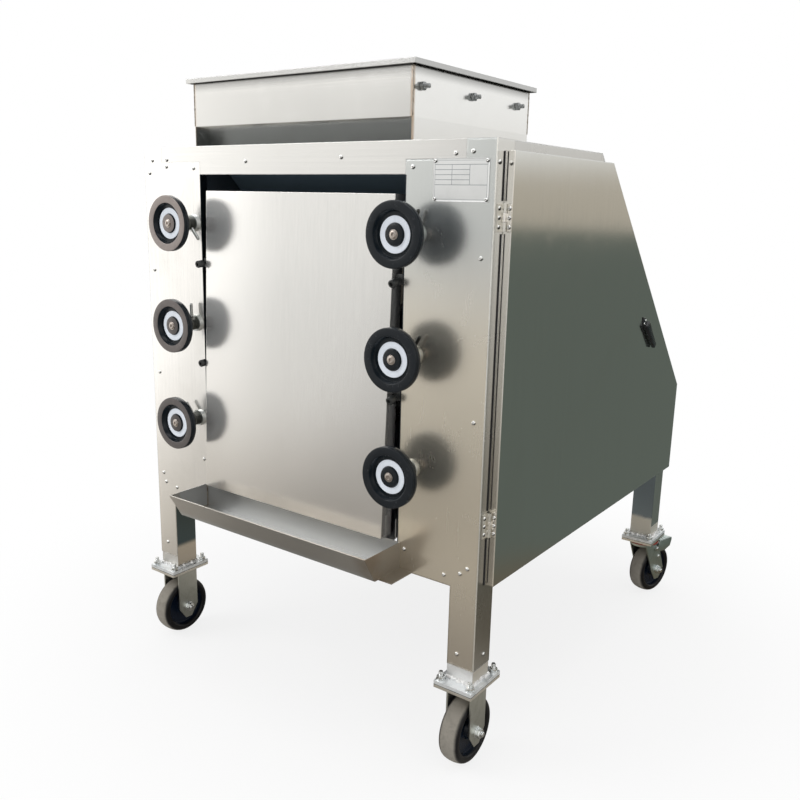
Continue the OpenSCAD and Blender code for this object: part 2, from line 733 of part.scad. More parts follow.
module hopper_shell() {
    out = hopper_rim_out;
    rim_low = [-hopper_w / 2, hopper_y, hopper_rim_z];
    rim_high = [hopper_w / 2, hopper_y + hopper_d, hopper_rim_z + hopper_rim_h];
    fold = [hopper_t, hopper_t, 0];
    color(STEEL) {
        yz_sheet(-hopper_w / 2, hopper_w) hopper_wall_2d(hopper_y, 1);
        yz_sheet(-hopper_w / 2, hopper_w) hopper_wall_2d(hopper_y + hopper_d, -1);
        for (x = [-hopper_w / 2, hopper_w / 2 - hopper_t]) yz_sheet(x, hopper_t) hopper_end_2d();
        difference() {
            block(rim_low - [out, out, 0], rim_high + [out, out, 0]);
            block(rim_low + fold - [0, 0, 1], rim_high - fold + [0, 0, 1]);
            difference() {
                block(rim_low - [out, out, 1] + fold, rim_high + [out, out, -hopper_t] - fold);
                block(rim_low - [0, 0, 2], rim_high + [0, 0, 1]);
            }
        }
    }
}
module hopper_guard_rods() {
    rod_l = hopper_w + 2 * guard_nut_t + 6;
    color(ZINC) for (y = guard_rod_ys) translate([0, hopper_y + y, guard_rod_z]) {
        along_x(-rod_l / 2, 0, 0) cylinder(r = guard_rod_r, h = rod_l);
        for (s = SIDES) on_side(s) along_x(hopper_w / 2, 0, 0)
            cylinder(r = guard_nut_r, h = guard_nut_t, $fn = 6);
    }
}

// Bearing plates and bearings
module bearing_plate_2d() {
    rear_y = post_y + rail_tube / 2;
    foot_in = rail_tube;
    foot_top = row_z(0) - roller_r - groove_d - chute_cheek;
    bay_y = [roller_y[1] + bearing_r + 14, rear_y - 32];
    bay_h = row_pitch - 2 * bearing_r;
    difference() {
        polygon([[plate_y, rail_low_top], [plate_y + foot_in, rail_low_top], [plate_y + foot_in, foot_top],
                 [rear_y - foot_in, foot_top], [rear_y - foot_in, rail_low_top], [rear_y, rail_low_top],
                 [rear_y, beam_under_z], [plate_y, beam_under_z]]);
        for (row = ROWS) {
            translate([window_y[0], row_z(row) - block_h / 2 - slide_gap])
                square([window_y[1] - window_y[0], block_h + 2 * slide_gap]);
            translate([roller_y[1], row_z(row)]) circle(r = bearing_r + seat_gap);
            translate([bay_y[0], row_z(row) - bay_h / 2]) square([bay_y[1] - bay_y[0], bay_h]);
        }
        translate([nip_y, feed_z]) circle(r = feed_bearing_r + seat_gap);
    }
}
module bearing_plates() {
    color(CAST) for (s = SIDES) on_side(s) difference() {
        yz_sheet(plate_in_x, plate_t) bearing_plate_2d();
        for (row = ROWS)
            along_y(screw_x, plate_y - 1, row_z(row))
                cylinder(r = screw_r + run_gap, h = window_y[0] - plate_y + 2);
    }
}
module fixed_bearings() {
    color(ZINC) for (s = SIDES) on_side(s) {
        for (row = ROWS) {
            along_x(screw_x - bearing_w / 2, roller_y[1], row_z(row))
                ring(bearing_r, shaft_r + run_gap, bearing_w);
            along_y(screw_x, -bush_flange_t, row_z(row)) {
                ring(bush_flange_r, screw_r + run_gap, bush_flange_t);
                ring(bush_r, screw_r + run_gap, bush_flange_t + plate_y);
            }
        }
        along_x(screw_x - feed_bearing_w / 2, nip_y, feed_z)
            ring(feed_bearing_r, feed_shaft_r + run_gap, feed_bearing_w);
    }
}
module bearing_blocks(row) {
    color(CAST) for (s = SIDES) on_side(s) translate([0, roller_y[0], row_z(row)]) difference() {
        union() {
            block([plate_in_x, -block_d / 2, -block_h / 2], [plate_out_x, block_d / 2, block_h / 2]);
            block([plate_in_x - slide_gap - cheek_t, -block_d / 2, -block_h / 2 - cheek_lap],
                  [plate_in_x - slide_gap, block_d / 2, block_h / 2 + cheek_lap]);
            block([plate_in_x - slide_gap - 1, -block_d / 2, -block_h / 2],
                  [plate_in_x + 1, block_d / 2, block_h / 2]);
        }
        along_x(plate_in_x - cheek_t - 2, 0, 0) cylinder(r = shaft_r + run_gap, h = plate_t + cheek_t + 4);
        along_y(screw_x, -block_d / 2 - 1, 0) cylinder(r = screw_r + thread_gap, h = thread_d + 1);
    }
}

// Adjusters
module rim_section_2d() {
    translate([wheel_r - rim_w, rim_round]) square([rim_w, rim_d - 2 * rim_round]);
    translate([wheel_r - rim_w + rim_round, 0]) square([rim_w - 2 * rim_round, rim_d]);
    for (r = [wheel_r - rim_w + rim_round, wheel_r - rim_round], y = [rim_round, rim_d - rim_round])
        translate([r, y]) circle(r = rim_round);
}
module handwheel(s, row) {
    bore_r = screw_r + seat_gap;
    web_y = web_drop;
    color(BLACK) along_y(s * screw_x, wheel_front_y, row_z(row)) rotate_extrude() {
        rim_section_2d();
        translate([hub_neck_r, web_y]) square([wheel_r - rim_w + 1 - hub_neck_r, web_t]);
        polygon([[bore_r, hub_drop], [hub_r, hub_drop], [hub_r, web_y + web_t],
                 [hub_neck_r, hub_drop + hub_l], [bore_r, hub_drop + hub_l]]);
    }
    color("white") along_y(s * screw_x, wheel_front_y + web_y - index_t - seat_gap, row_z(row))
        ring(index_out_r, index_in_r, index_t);
}
module adjusting_screw(s, row) {
    washer_r = screw_r + 4;
    washer_t = 2;
    head_t = hub_drop - washer_t + 2;
    color(ZINC) along_y(s * screw_x, wheel_hub_y, row_z(row)) {
        cylinder(r = screw_r, h = screw_end_y - wheel_hub_y);
        translate([0, 0, -washer_t]) cylinder(r = washer_r, h = washer_t);
        translate([0, 0, -washer_t - head_t]) cylinder(r = screw_r + 1, h = head_t + 1, $fn = 6);
    }
}
module lock_lever(s, row) {
    turn = s < 0 ? lock_left[row] : lock_right[row];
    mid = lock_l / 2;
    color(ZINC) along_y(s * screw_x, lock_y, row_z(row)) difference() {
        union() {
            cylinder(r = lock_r, h = lock_l);
            rotate([0, 0, -turn]) translate([0, 0, mid]) rotate([0, 90, 0])
                cylinder(r = lock_rod_r, h = lock_reach);
            rotate([0, 0, -turn]) translate([lock_reach, 0, mid]) sphere(r = lock_rod_r);
        }
        translate([0, 0, -1]) cylinder(r = screw_r + run_gap, h = lock_l + 2);
    }
}

// Rollers and drive
module gear_2d(pitch_r) {
    module_size = 2 * pitch_r / gear_teeth;
    flank = tan(20);
    half = PI * pitch_r / (2 * gear_teeth) - gear_play / 4;
    tip = 0.85 * module_size;
    root = 1.25 * module_size;
    deep = root + 1;
    circle(r = pitch_r - root);
    for (i = [0:gear_teeth - 1]) rotate(i * 360 / gear_teeth) polygon([
        [pitch_r - deep, half + deep * flank], [pitch_r + tip, half - tip * flank],
        [pitch_r + tip, tip * flank - half], [pitch_r - deep, -half - deep * flank]]);
}
module roller_gear(y, z, phase) {
    along_x(gear_x, y, z) rotate(phase) linear_extrude(gear_w) difference() {
        gear_2d(pair_cd / 2);
        circle(r = shaft_r + seat_gap);
    }
}
module cutting_roller(y, z, end_x) {
    count = floor(roller_l / ring_pitch);
    start = (roller_l - (count - 1) * ring_pitch - ring_w) / 2;
    core = roller_r - groove_d;
    left_end = plate_out_x + 6;
    along_x(-roller_l / 2, y, z) rotate_extrude() polygon(concat(
        [[0, 0], [core, 0]],
        [for (i = [0:count - 1]) each let (low = start + i * ring_pitch)
            [[core, low], [roller_r, low], [roller_r, low + ring_w], [core, low + ring_w]]],
        [[core, roller_l], [0, roller_l]]));
    along_x(-left_end, y, z) cylinder(r = shaft_r, h = left_end + end_x);
}
module pulley(x, y, z, belt_r, bore_r) {
    flange_r = belt_r + belt_t / 2;
    floor_r = belt_r - belt_gap;
    flange_w = (pulley_w - belt_w) / 2 - belt_gap;
    along_x(x, y, z) rotate_extrude() polygon([
        [bore_r, 0], [flange_r, 0], [flange_r, flange_w], [floor_r, flange_w], [floor_r, pulley_w - flange_w],
        [flange_r, pulley_w - flange_w], [flange_r, pulley_w], [bore_r, pulley_w]]);
}
module front_roller(row) {
    z = row_z(row);
    color(STEEL) {
        cutting_roller(roller_y[0], z, gear_x + gear_w + 4);
        roller_gear(roller_y[0], z, 180 / gear_teeth);
    }
}
module rear_roller(row) {
    z = row_z(row);
    outer_r = row == 0 ? main_pulley_r : stage_pulley_r;
    color(STEEL) {
        cutting_roller(roller_y[1], z, shaft_end_x);
        roller_gear(roller_y[1], z, 0);
        pulley(belt_in_x, roller_y[1], z, stage_pulley_r, shaft_r + seat_gap);
        pulley(belt_out_x, roller_y[1], z, outer_r, shaft_r + seat_gap);
    }
}
module feed_roller() {
    left_end = plate_out_x + 6;
    right_end = belt_in_x + pulley_w + 4;
    color(STEEL) {
        along_x(-roller_l / 2, nip_y, feed_z) linear_extrude(roller_l) {
            circle(r = feed_core_r);
            for (i = [0:feed_ribs - 1]) rotate(i * 360 / feed_ribs)
                translate([0, -feed_rib_w / 2]) square([feed_r, feed_rib_w]);
        }
        along_x(-left_end, nip_y, feed_z) cylinder(r = feed_shaft_r, h = left_end + right_end);
        pulley(belt_in_x, nip_y, feed_z, feed_pulley_r, feed_shaft_r + seat_gap);
    }
}
module belt(x, from, to, from_r, to_r) {
    reach = norm(to - from);
    wrap = acos((from_r - to_r) / reach);
    heading = atan2(to[1] - from[1], to[0] - from[0]);
    side = (pulley_w - belt_w) / 2;
    along_x(x + side, from[0], from[1]) rotate(heading) linear_extrude(belt_w) difference() {
        polygon(concat(arc_points([0, 0], from_r + belt_t, wrap, 360 - wrap),
                       arc_points([reach, 0], to_r + belt_t, -wrap, wrap)));
        polygon(concat(arc_points([0, 0], from_r, wrap, 360 - wrap),
                       arc_points([reach, 0], to_r, -wrap, wrap)));
    }
}
function arc_points(centre, r, first, last) =
    [for (i = [0:$fn / 2]) let (a = first + (last - first) * 2 * i / $fn) centre + r * [cos(a), sin(a)]];
module drive_belts() {
    rear = roller_y[1];
    color(BLACK) {
        belt(belt_in_x, [rear, row_z(0)], [rear, row_z(1)], stage_pulley_r, stage_pulley_r);
        belt(belt_out_x, [rear, row_z(1)], [rear, row_z(2)], stage_pulley_r, stage_pulley_r);
        belt(belt_in_x, [rear, row_z(2)], [nip_y, feed_z], stage_pulley_r, feed_pulley_r);
        belt(belt_out_x, [rear, row_z(0)], [motor_y, motor_z], main_pulley_r, motor_pulley_r);
    }
}
module drive_motor() {
    shield_t = 22;
    shield_r = motor_r + fin_h - 2;
    fin_w = 3;
    foot_w = motor_rail_pitch + 30;
    foot_t = 12;
    foot_l = motor_l * 0.6;
    box_d = 90;
    box_top = motor_r + fin_h + 34;
    color(CAST) difference() {
        union() {
            along_x(motor_end_x - shield_t - motor_l, motor_y, motor_z) {
                cylinder(r = motor_r, h = motor_l);
                linear_extrude(motor_l) for (i = [0:fin_count - 1]) rotate(i * 360 / fin_count)
                    translate([motor_r - 2, -fin_w / 2]) square([fin_h + 2, fin_w]);
                translate([0, 0, motor_l]) cylinder(r = shield_r, h = shield_t);
                translate([0, 0, -fan_l]) cylinder(r = shield_r, h = fan_l);
            }
            translate([motor_end_x - shield_t - motor_l / 2 - foot_l / 2, motor_y, motor_z]) {
                block([0, -foot_w / 2, -motor_shaft_h], [foot_l, foot_w / 2, -motor_shaft_h + foot_t]);
                for (s = SIDES) block([0, s * motor_r * 0.6 - foot_t / 2, -motor_shaft_h],
                                      [foot_l, s * motor_r * 0.6 + foot_t / 2, -motor_r * 0.6]);
                block([0, -box_d / 2, motor_r - 6], [foot_l * 0.7, box_d / 2, box_top]);
            }
        }
        along_x(motor_end_x - 60, motor_y, motor_z) cylinder(r = motor_shaft_r + run_gap, h = 61);
    }
}
module motor_pulley() {
    color(ZINC) {
        along_x(motor_end_x - 55, motor_y, motor_z)
            cylinder(r = motor_shaft_r, h = shaft_end_x - motor_end_x + 55);
        pulley(belt_out_x, motor_y, motor_z, motor_pulley_r, motor_shaft_r + seat_gap);
    }
}

// Door
module door_outline_2d(inset) {
    y0 = door_y + inset;
    y1 = door_rear_y - inset;
    z0 = door_foot_z + inset;
    z1 = door_top_z - inset;
    slope = flat_top_d + body_top_z - inset * sqrt(2);
    polygon([[y0, z0], [y1, z0], [y1, slope - y1], [slope - z1, z1], [y0, z1]]);
}
module side_door() {
    color(STEEL) {
        difference() {
            yz_sheet(door_in_x, door_face_x - door_in_x) door_outline_2d(0);
            yz_sheet(door_in_x + skin_t, door_face_x - door_in_x - 2 * skin_t) door_outline_2d(skin_t);
            yz_sheet(door_in_x - 1, skin_t + 2) door_outline_2d(door_fold);
            along_x(door_in_x, latch_y, latch_z) cylinder(r = spindle_r + run_gap, h = door_out + 1);
        }
        for (z = hinge_zs) moving_leaf(z);
    }
}
module on_hinge(z) { translate([hinge_axis[0], hinge_axis[1], z]) children(); }
module moving_leaf(z) {
    seg = hinge_h / 3;
    low = z - seg / 2 + knuckle_gap;
    high = z + seg / 2 - knuckle_gap;
    leaf_x = hinge_axis[0] + knuckle_r + 0.5;
    difference() {
        union() {
            on_hinge(low) cylinder(r = knuckle_r, h = high - low);
            block([hinge_axis[0], door_y - hinge_t, low], [leaf_x + 1, door_y, high]);
            block([leaf_x, door_y - hinge_t, z - hinge_h / 2], [door_face_x - 1, door_y, z + hinge_h / 2]);
        }
        on_hinge(low - 1) cylinder(r = hinge_pin_r + run_gap, h = high - low + 2);
    }
}
module door_hinges() {
    seg = hinge_h / 3;
    knuckle_y = hinge_axis[1] - knuckle_r;
    color(ZINC) for (z = hinge_zs) {
        block([half_w, knuckle_y - hinge_leaf_w + 2, z - hinge_h / 2],
              [half_w + hinge_t, knuckle_y + 1, z + hinge_h / 2]);
        for (low = [z - hinge_h / 2, z + seg / 2]) {
            on_hinge(low) cylinder(r = knuckle_r, h = seg);
            block([half_w, knuckle_y, low], [hinge_axis[0], knuckle_y + hinge_t, low + seg]);
        }
        on_hinge(z - hinge_h / 2) cylinder(r = hinge_pin_r, h = hinge_h);
    }
}
module door_latch() {
    tongue_x = door_in_x + skin_t + 2;
    color(BLACK) along_x(0, latch_y, latch_z) rotate(-45) {
        translate([0, 0, tongue_x]) cylinder(r = spindle_r, h = door_face_x + latch_boss_h - tongue_x);
        translate([0, 0, door_face_x]) cylinder(r = latch_boss_r, h = latch_boss_h);
        translate([-latch_tail + latch_w / 2, 0, door_face_x + latch_boss_h])
            linear_extrude(latch_t) slot_2d(latch_tail + latch_l - latch_w, latch_w);
        translate([0, 0, tongue_x]) linear_extrude(tongue_t) rotate(90)
            slot_2d(tongue_l - tongue_w / 2, tongue_w);
    }
}

// Casters
module caster_plate(s, y) {
    difference() {
        translate([s * leg_x - caster_plate_w / 2, y - caster_plate_l / 2, fork_top_z])
            cube([caster_plate_w, caster_plate_l, caster_plate_t]);
        plate_bolt_holes(s, y);
    }
}
module axle(x, y) {
    reach = fork_out + 2;
    along_x(x - reach, y, axle_z) cylinder(r = axle_r, h = 2 * reach + 6);
    for (low = [-fork_out - 7, fork_out]) along_x(x + low, y, axle_z)
        cylinder(r = axle_r + 4, h = 7, $fn = 6);
}
// A cheek runs from its top edge down to a blunt point under the axle
module cheek_2d(top_from, top_to, top_z, axle_y) {
    nose_z = axle_z - fork_drop;
    polygon([[top_from, top_z], [top_to, top_z],
             [axle_y + fork_w / 2, axle_z], [axle_y + fork_nose / 2, nose_z],
             [axle_y - fork_nose / 2, nose_z], [axle_y - fork_w / 2, axle_z]]);
}
module on_swivel(s) {
    axis = [s * leg_x, leg_y[1], 0];
    translate(axis) rotate(s > 0 ? -swivel_rest : 0) translate(-axis) children();
}
module front_fork(s) {
    x = s * leg_x;
    caster_plate(s, leg_y[0]);
    for (low = [-fork_out, fork_gap / 2]) yz_sheet(x + low, fork_t)
        cheek_2d(leg_y[0] - fork_w / 2, leg_y[0] + fork_w / 2, fork_top_z, leg_y[0]);
    axle(x, leg_y[0]);
}
module swivel_head(s) {
    nut_z = crown_top_z - crown_t - swivel_gap - kingpin_nut_t;
    caster_plate(s, leg_y[1]);
    translate([s * leg_x, leg_y[1], 0]) {
        translate([0, 0, fork_top_z - swivel_h]) cylinder(r = swivel_r, h = swivel_h);
        translate([0, 0, nut_z]) cylinder(r = kingpin_r, h = fork_top_z - nut_z);
        translate([0, 0, nut_z]) cylinder(r = kingpin_nut_r, h = kingpin_nut_t, $fn = 6);
    }
}
module caster_mounts() {
    color(ZINC) for (s = SIDES) {
        front_fork(s);
        swivel_head(s);
    }
}
module caster_bolts() {
    color(ZINC) for (s = SIDES, y = leg_y) plate_bolt_places(s, y) {
        translate([0, 0, fork_top_z - nut_t]) cylinder(r = nut_r, h = nut_t, $fn = 6);
        translate([0, 0, fork_top_z - 1])
            cylinder(r = bolt_r, h = leg_foot_z - fork_top_z + nut_t + bolt_end + 1);
        translate([0, 0, leg_foot_z]) cylinder(r = nut_r, h = nut_t, $fn = 6);
    }
}
module swivel_fork(s) {
    x = s * leg_x;
    y = leg_y[1];
    top_half = swivel_r - 12;
    color(ZINC) on_swivel(s) {
        translate([x, y, crown_top_z - crown_t]) ring(swivel_r, kingpin_r + run_gap, crown_t);
        for (low = [-fork_out, fork_gap / 2]) yz_sheet(x + low, fork_t)
            cheek_2d(y - top_half, y + top_half + 12, crown_top_z, y + trail);
        for (side = SIDES) translate([x, 0, 0]) on_side(side)
            along_x(fork_out - 1, y + pedal_y, pedal_z) cylinder(r = pedal_pin_r, h = pedal_t + 4);
        axle(x, y + trail);
    }
}
module brake_pedal(s) {
    y = leg_y[1];
    ear_in = fork_out + swivel_gap;
    tread_y = y + pedal_tread_y;
    tread_end = tread_y + pedal_tread_l;
    tread_top = pedal_tread_z + pedal_t;
    eye_r = pedal_pin_r + 5;
    color(ZINC) on_swivel(s) translate([s * leg_x, 0, 0]) {
        for (side = SIDES) on_side(side) yz_sheet(ear_in, pedal_t) difference() {
            union() {
                translate([y + pedal_y, pedal_z]) circle(r = eye_r);
                polygon([[y + pedal_y - eye_r, pedal_z], [y + pedal_y, pedal_z - eye_r],
                         [tread_y + 14, pedal_tread_z - 5], [tread_end, pedal_tread_z - 2],
                         [tread_end, tread_top], [tread_y, tread_top]]);
            }
            translate([y + pedal_y, pedal_z]) circle(r = pedal_pin_r + run_gap);
        }
        block([-ear_in - pedal_t, tread_y, pedal_tread_z], [ear_in + pedal_t, tread_end, tread_top]);
        block([-shoe_w / 2, tread_y + 10, axle_z + tyre_r + shoe_off],
              [shoe_w / 2, tread_y + 24, pedal_tread_z + 1]);
    }
}
module caster_wheel(s, i) {
    if (i == 0) wheel_at(s, leg_y[0]);
    else on_swivel(s) wheel_at(s, leg_y[1] + trail);
}
module wheel_at(s, y) {
    crown_drop = tread_crown - sqrt(tread_crown * tread_crown - tyre_w * tyre_w / 4);
    color(BLACK) along_x(s * leg_x, y, axle_z) difference() {
        union() {
            rotate_extrude() difference() {
                translate([hub_disc_r, -tyre_w / 2]) square([tyre_r - hub_disc_r, tyre_w]);
                difference() {
                    translate([tyre_r - crown_drop, -tyre_w / 2 - 1]) square([crown_drop + 1, tyre_w + 2]);
                    translate([tyre_r - tread_crown, 0]) circle(r = tread_crown);
                }
            }
            translate([0, 0, -disc_t / 2]) cylinder(r = hub_disc_r, h = disc_t);
            translate([0, 0, -wheel_hub_w / 2]) cylinder(r = wheel_hub_r, h = wheel_hub_w);
        }
        translate([0, 0, -wheel_hub_w]) cylinder(r = axle_r + run_gap, h = 2 * wheel_hub_w);
    }
}

at_origin() frame_legs();
at_origin() frame_rails();
at_origin() left_front_column();
at_origin() right_front_column();
at_origin() front_top_beam();
at_origin() front_panel();
at_origin() panel_bolts();
at_origin() discharge_tray();
at_origin() discharge_chute();
at_origin() top_deck();
at_origin() rear_cover();
at_origin() left_side_panel();
at_origin() hopper_shell();
at_origin() hopper_guard_rods();
at_origin() bearing_plates();
at_origin() fixed_bearings();
at_origin() drive_motor();
at_origin() drive_belts();
at_origin() caster_mounts();
at_origin() caster_bolts();
at_origin() door_hinges();
at_origin() side_door();
at_origin() door_latch();
at_origin() feed_roller();
at_origin() motor_pulley();
for (i = [0, 1], row = ROWS) {
    place = str("_", SIDE_NAMES[i], "_", ROW_NAMES[row]);
    at_origin() handwheel(SIDES[i], row);
    at_origin() adjusting_screw(SIDES[i], row);
    at_origin() lock_lever(SIDES[i], row);
}
for (row = ROWS) {
    at_origin() bearing_blocks(row);
    at_origin() front_roller(row);
    at_origin() rear_roller(row);
}
for (i = [0, 1]) {
    side = SIDE_NAMES[i];
    at_origin() caster_wheel(SIDES[i], 0);
    at_origin() caster_wheel(SIDES[i], 1);
    at_origin() swivel_fork(SIDES[i]);
    at_origin() brake_pedal(SIDES[i]);
}
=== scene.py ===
import json
import math

import bmesh
import bpy
from mathutils import Matrix, Vector, noise


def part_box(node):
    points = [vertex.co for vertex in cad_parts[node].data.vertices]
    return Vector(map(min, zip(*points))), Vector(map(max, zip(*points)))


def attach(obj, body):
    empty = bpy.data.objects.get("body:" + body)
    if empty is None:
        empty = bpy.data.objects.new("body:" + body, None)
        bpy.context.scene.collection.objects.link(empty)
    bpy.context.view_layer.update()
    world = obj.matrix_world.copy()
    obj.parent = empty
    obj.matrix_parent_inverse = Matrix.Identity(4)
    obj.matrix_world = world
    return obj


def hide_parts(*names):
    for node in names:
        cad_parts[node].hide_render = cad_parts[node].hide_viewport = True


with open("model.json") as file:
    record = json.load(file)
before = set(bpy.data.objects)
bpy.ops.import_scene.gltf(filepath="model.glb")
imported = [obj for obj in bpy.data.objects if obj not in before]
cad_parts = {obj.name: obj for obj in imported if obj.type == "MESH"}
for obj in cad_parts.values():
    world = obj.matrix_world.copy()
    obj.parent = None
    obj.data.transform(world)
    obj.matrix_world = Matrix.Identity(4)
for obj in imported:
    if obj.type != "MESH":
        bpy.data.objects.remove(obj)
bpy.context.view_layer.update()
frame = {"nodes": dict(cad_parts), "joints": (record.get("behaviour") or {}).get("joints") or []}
nodes = frame["nodes"]
joints = {joint["name"]: joint for joint in frame["joints"]}
scene = bpy.context.scene
print("loaded", len(nodes), "solid parts")

# the cabinet is laid out in millimetres from its middle, its front skin and the floor
cabinetMiddle = Vector((13, 536, 0))


def spot(x, y, z):
    return (Vector((x, y, z)) - cabinetMiddle) / 1000


def axle(joint):  # middle and direction of a joint's axis
    return Vector(joints[joint]["pos_m"]), Vector(joints[joint]["axis"]).normalized()


# Shader building

def operator(operation, swapped=False):  # a method that adds one Math node
    def method(self, other):
        return self.sum(operation, *((other, self) if swapped else (self, other)))
    return method


class Wire:  # one output of a node; sums and products on it add Math nodes
    def __init__(self, finish, socket):
        self.finish = finish
        self.socket = socket

    def sum(self, operation, *values):
        return self.finish.add("Math", {"operation": operation}, list(values))

    __add__, __radd__ = operator("ADD"), operator("ADD", True)
    __sub__, __rsub__ = operator("SUBTRACT"), operator("SUBTRACT", True)
    __mul__, __truediv__ = operator("MULTIPLY"), operator("DIVIDE")
    __gt__, __lt__ = operator("GREATER_THAN"), operator("LESS_THAN")
    either = operator("MAXIMUM")  # the larger of two values

    def __abs__(self):
        return self.sum("ABSOLUTE", self)

    def root(self):
        return self.sum("SQRT", self)

    def fraction(self):
        return self.sum("FRACT", self)

    def angle(self, other):  # of the point (self, other) round the origin, in turns
        return self.sum("ARCTAN2", other, self) / math.tau

    def ease(self, low, high):  # 0 below low, 1 above high, smooth between
        return self.finish.add("MapRange", {"interpolation_type": "SMOOTHSTEP"},
                               {"Value": self, "From Min": low, "From Max": high})


class Finish:  # one material, or the world, with the nodes that make it
    def __init__(self, name, holder=None):
        self.holder = holder or bpy.data.materials.new(name)
        self.holder.use_nodes = True
        self.tree = self.holder.node_tree
        self.tree.nodes.clear()

    def add(self, kind, settings=None, inputs=None, out=0):
        node = self.tree.nodes.new("ShaderNode" + kind)
        for key, value in (settings or {}).items():
            setattr(node, key, value)
        pairs = inputs.items() if isinstance(inputs, dict) else enumerate(inputs or [])
        for key, value in pairs:
            socket = node.inputs[key]
            if isinstance(value, Wire):
                self.tree.links.new(value.socket, socket)
            elif socket.type == "RGBA" and len(value) == 3:
                socket.default_value = (*value, 1)
            else:
                socket.default_value = value
        return Wire(self, node.outputs[out]) if node.outputs else None

    def facing(self):  # the direction that the surface looks in
        return self.add("NewGeometry", out="Normal")

    def axes(self, point):
        node = self.add("SeparateXYZ", inputs=[point]).socket.node
        return [Wire(self, node.outputs[i]) for i in range(3)]

    def away(self, point, centre):
        return self.add("VectorMath", {"operation": "SUBTRACT"}, [point, tuple(centre)])

    def moved(self, point, centre=(0, 0, 0), scale=(1, 1, 1)):
        return self.add("Mapping", inputs={"Vector": self.away(point, centre), "Scale": scale})

    def cloud(self, point, scale, detail=3, rough=0.55, warp=0):
        return self.add("TexNoise", inputs={
            "Vector": point, "Scale": scale, "Detail": detail, "Roughness": rough, "Distortion": warp})

    def dot(self, first, second):
        return self.add("VectorMath", {"operation": "DOT_PRODUCT"}, [first, second], out="Value")

    def mix(self, factor, first, second):
        inputs = {0: factor, 6: first, 7: second}
        return self.add("Mix", {"data_type": "RGBA", "clamp_factor": True}, inputs, out=2)

    def bump(self, height, strength, distance, rounding=0):
        inputs = {"Height": height, "Strength": strength, "Distance": distance}
        if rounding:
            inputs["Normal"] = self.add("Bevel", {"samples": 4}, {"Radius": rounding})
        return self.add("Bump", inputs=inputs)

    def surface(self, **inputs):  # the last step: a Principled shader on the output
        words = {"colour": "Base Color", "rough": "Roughness", "metal": "Metallic", "normal": "Normal",
                 "specular": "Specular IOR Level"}
        shader = self.add("BsdfPrincipled", inputs={words[k]: v for k, v in inputs.items()})
        self.add("OutputMaterial", inputs=[shader])
        return self.holder


def begin(name):  # a new material, and the point on the piece in metres in the shared frame
    f = Finish(name)
    return f, f.add("TexCoord", out="Object")


def darker(colour, share):
    return [c * share for c in colour]


# Stainless sheet

sheetLook = {
    "brush": "z", "colour": (0.79, 0.785, 0.77), "stain": (0.68, 0.665, 0.63), "groove": (0.52, 0.52, 0.51),
    "rough": 0.19, "metal": 1, "grainWidth": 0.003, "grainLength": 0.7, "blotches": 3.2, "smudges": 11,
    "edge": 0.0016, "shades": [], "inner": [], "bands": [], "throat": None, "scorch": [], "folds": [],
}


def stainless(name, **changes):
    look = {**sheetLook, **changes}
    f, point = begin(name)
    x, y, z = f.axes(point)
    wide, long = 1 / look["grainWidth"], 1 / look["grainLength"]
    scale = Vector([long if axis == look["brush"] else wide for axis in "xyz"])
    grain = f.cloud(f.moved(point, scale=scale), 1, 2) * 0.6 + f.cloud(f.moved(point, scale=scale * 4), 1, 2) * 0.4
    blotch = f.cloud(point, look["blotches"], 4, 0.6, 0.6)
    smudge = f.cloud(point, look["smudges"], 5, 0.65, 1.2)
    base = f.mix(blotch.ease(0.48, 0.78) * 0.35 + smudge.ease(0.58, 0.82) * 0.25, look["colour"], look["stain"])
    base = f.mix((grain - 0.5).ease(-0.25, 0.25) * 0.16, base, look["groove"])

    def gap(place):  # distance from an upright line
        return ((x - place[0]) * (x - place[0]) + (y - place[1]) * (y - place[1])).root()

    along = {"x": x, "y": y, "z": z}
    for axis, start, full, share, colour in look["shades"]:  # a tone that comes in between two places on an axis
        base = f.mix(along[axis].ease(start, full) * share, base, colour)
    for axis, start, full, low, high, dark, bright in look["bands"]:  # painted reflection: a narrow face that brightens with height
        base = f.mix(along[axis].ease(start, full) * 0.95, base, f.mix(z.ease(low, high), dark, bright))
    for start, full, top, colour in look["inner"]:  # painted shade: an edge inside a slot made dark, below a height
        base = f.mix(x.ease(start, full) * (z < top), base, colour)
    for place, reach, share, colour in look["scorch"]:  # heat tint along an upright weld
        tint = (1 - gap(place).ease(reach * 0.2, reach)) * smudge.ease(0.25, 0.6) * share
        base = f.mix(tint, base, colour)
    for place, reach, colour in look["folds"]:  # painted highlight along an upright fold
        base = f.mix(1 - gap(place).ease(reach * 0.6, reach), base, colour)
    rough = look["rough"] + (grain - 0.5) * 0.08 + (blotch - 0.5) * 0.07 + smudge.ease(0.5, 0.8) * 0.04
    metal = look["metal"]
    if look["throat"]:  # the painted outer face of the chute, seen through the slot
        nearY, top, paint = look["throat"]
        facing = f.axes(f.facing())[1]
        painted = (facing < -0.3) * (y < nearY) * (z < top)
        base = f.mix(painted, base, paint)
        metal = metal - painted * 0.85
    return f.surface(colour=base, metal=metal, rough=rough, normal=f.bump(grain, 0.1, 0.0006, look["edge"]))
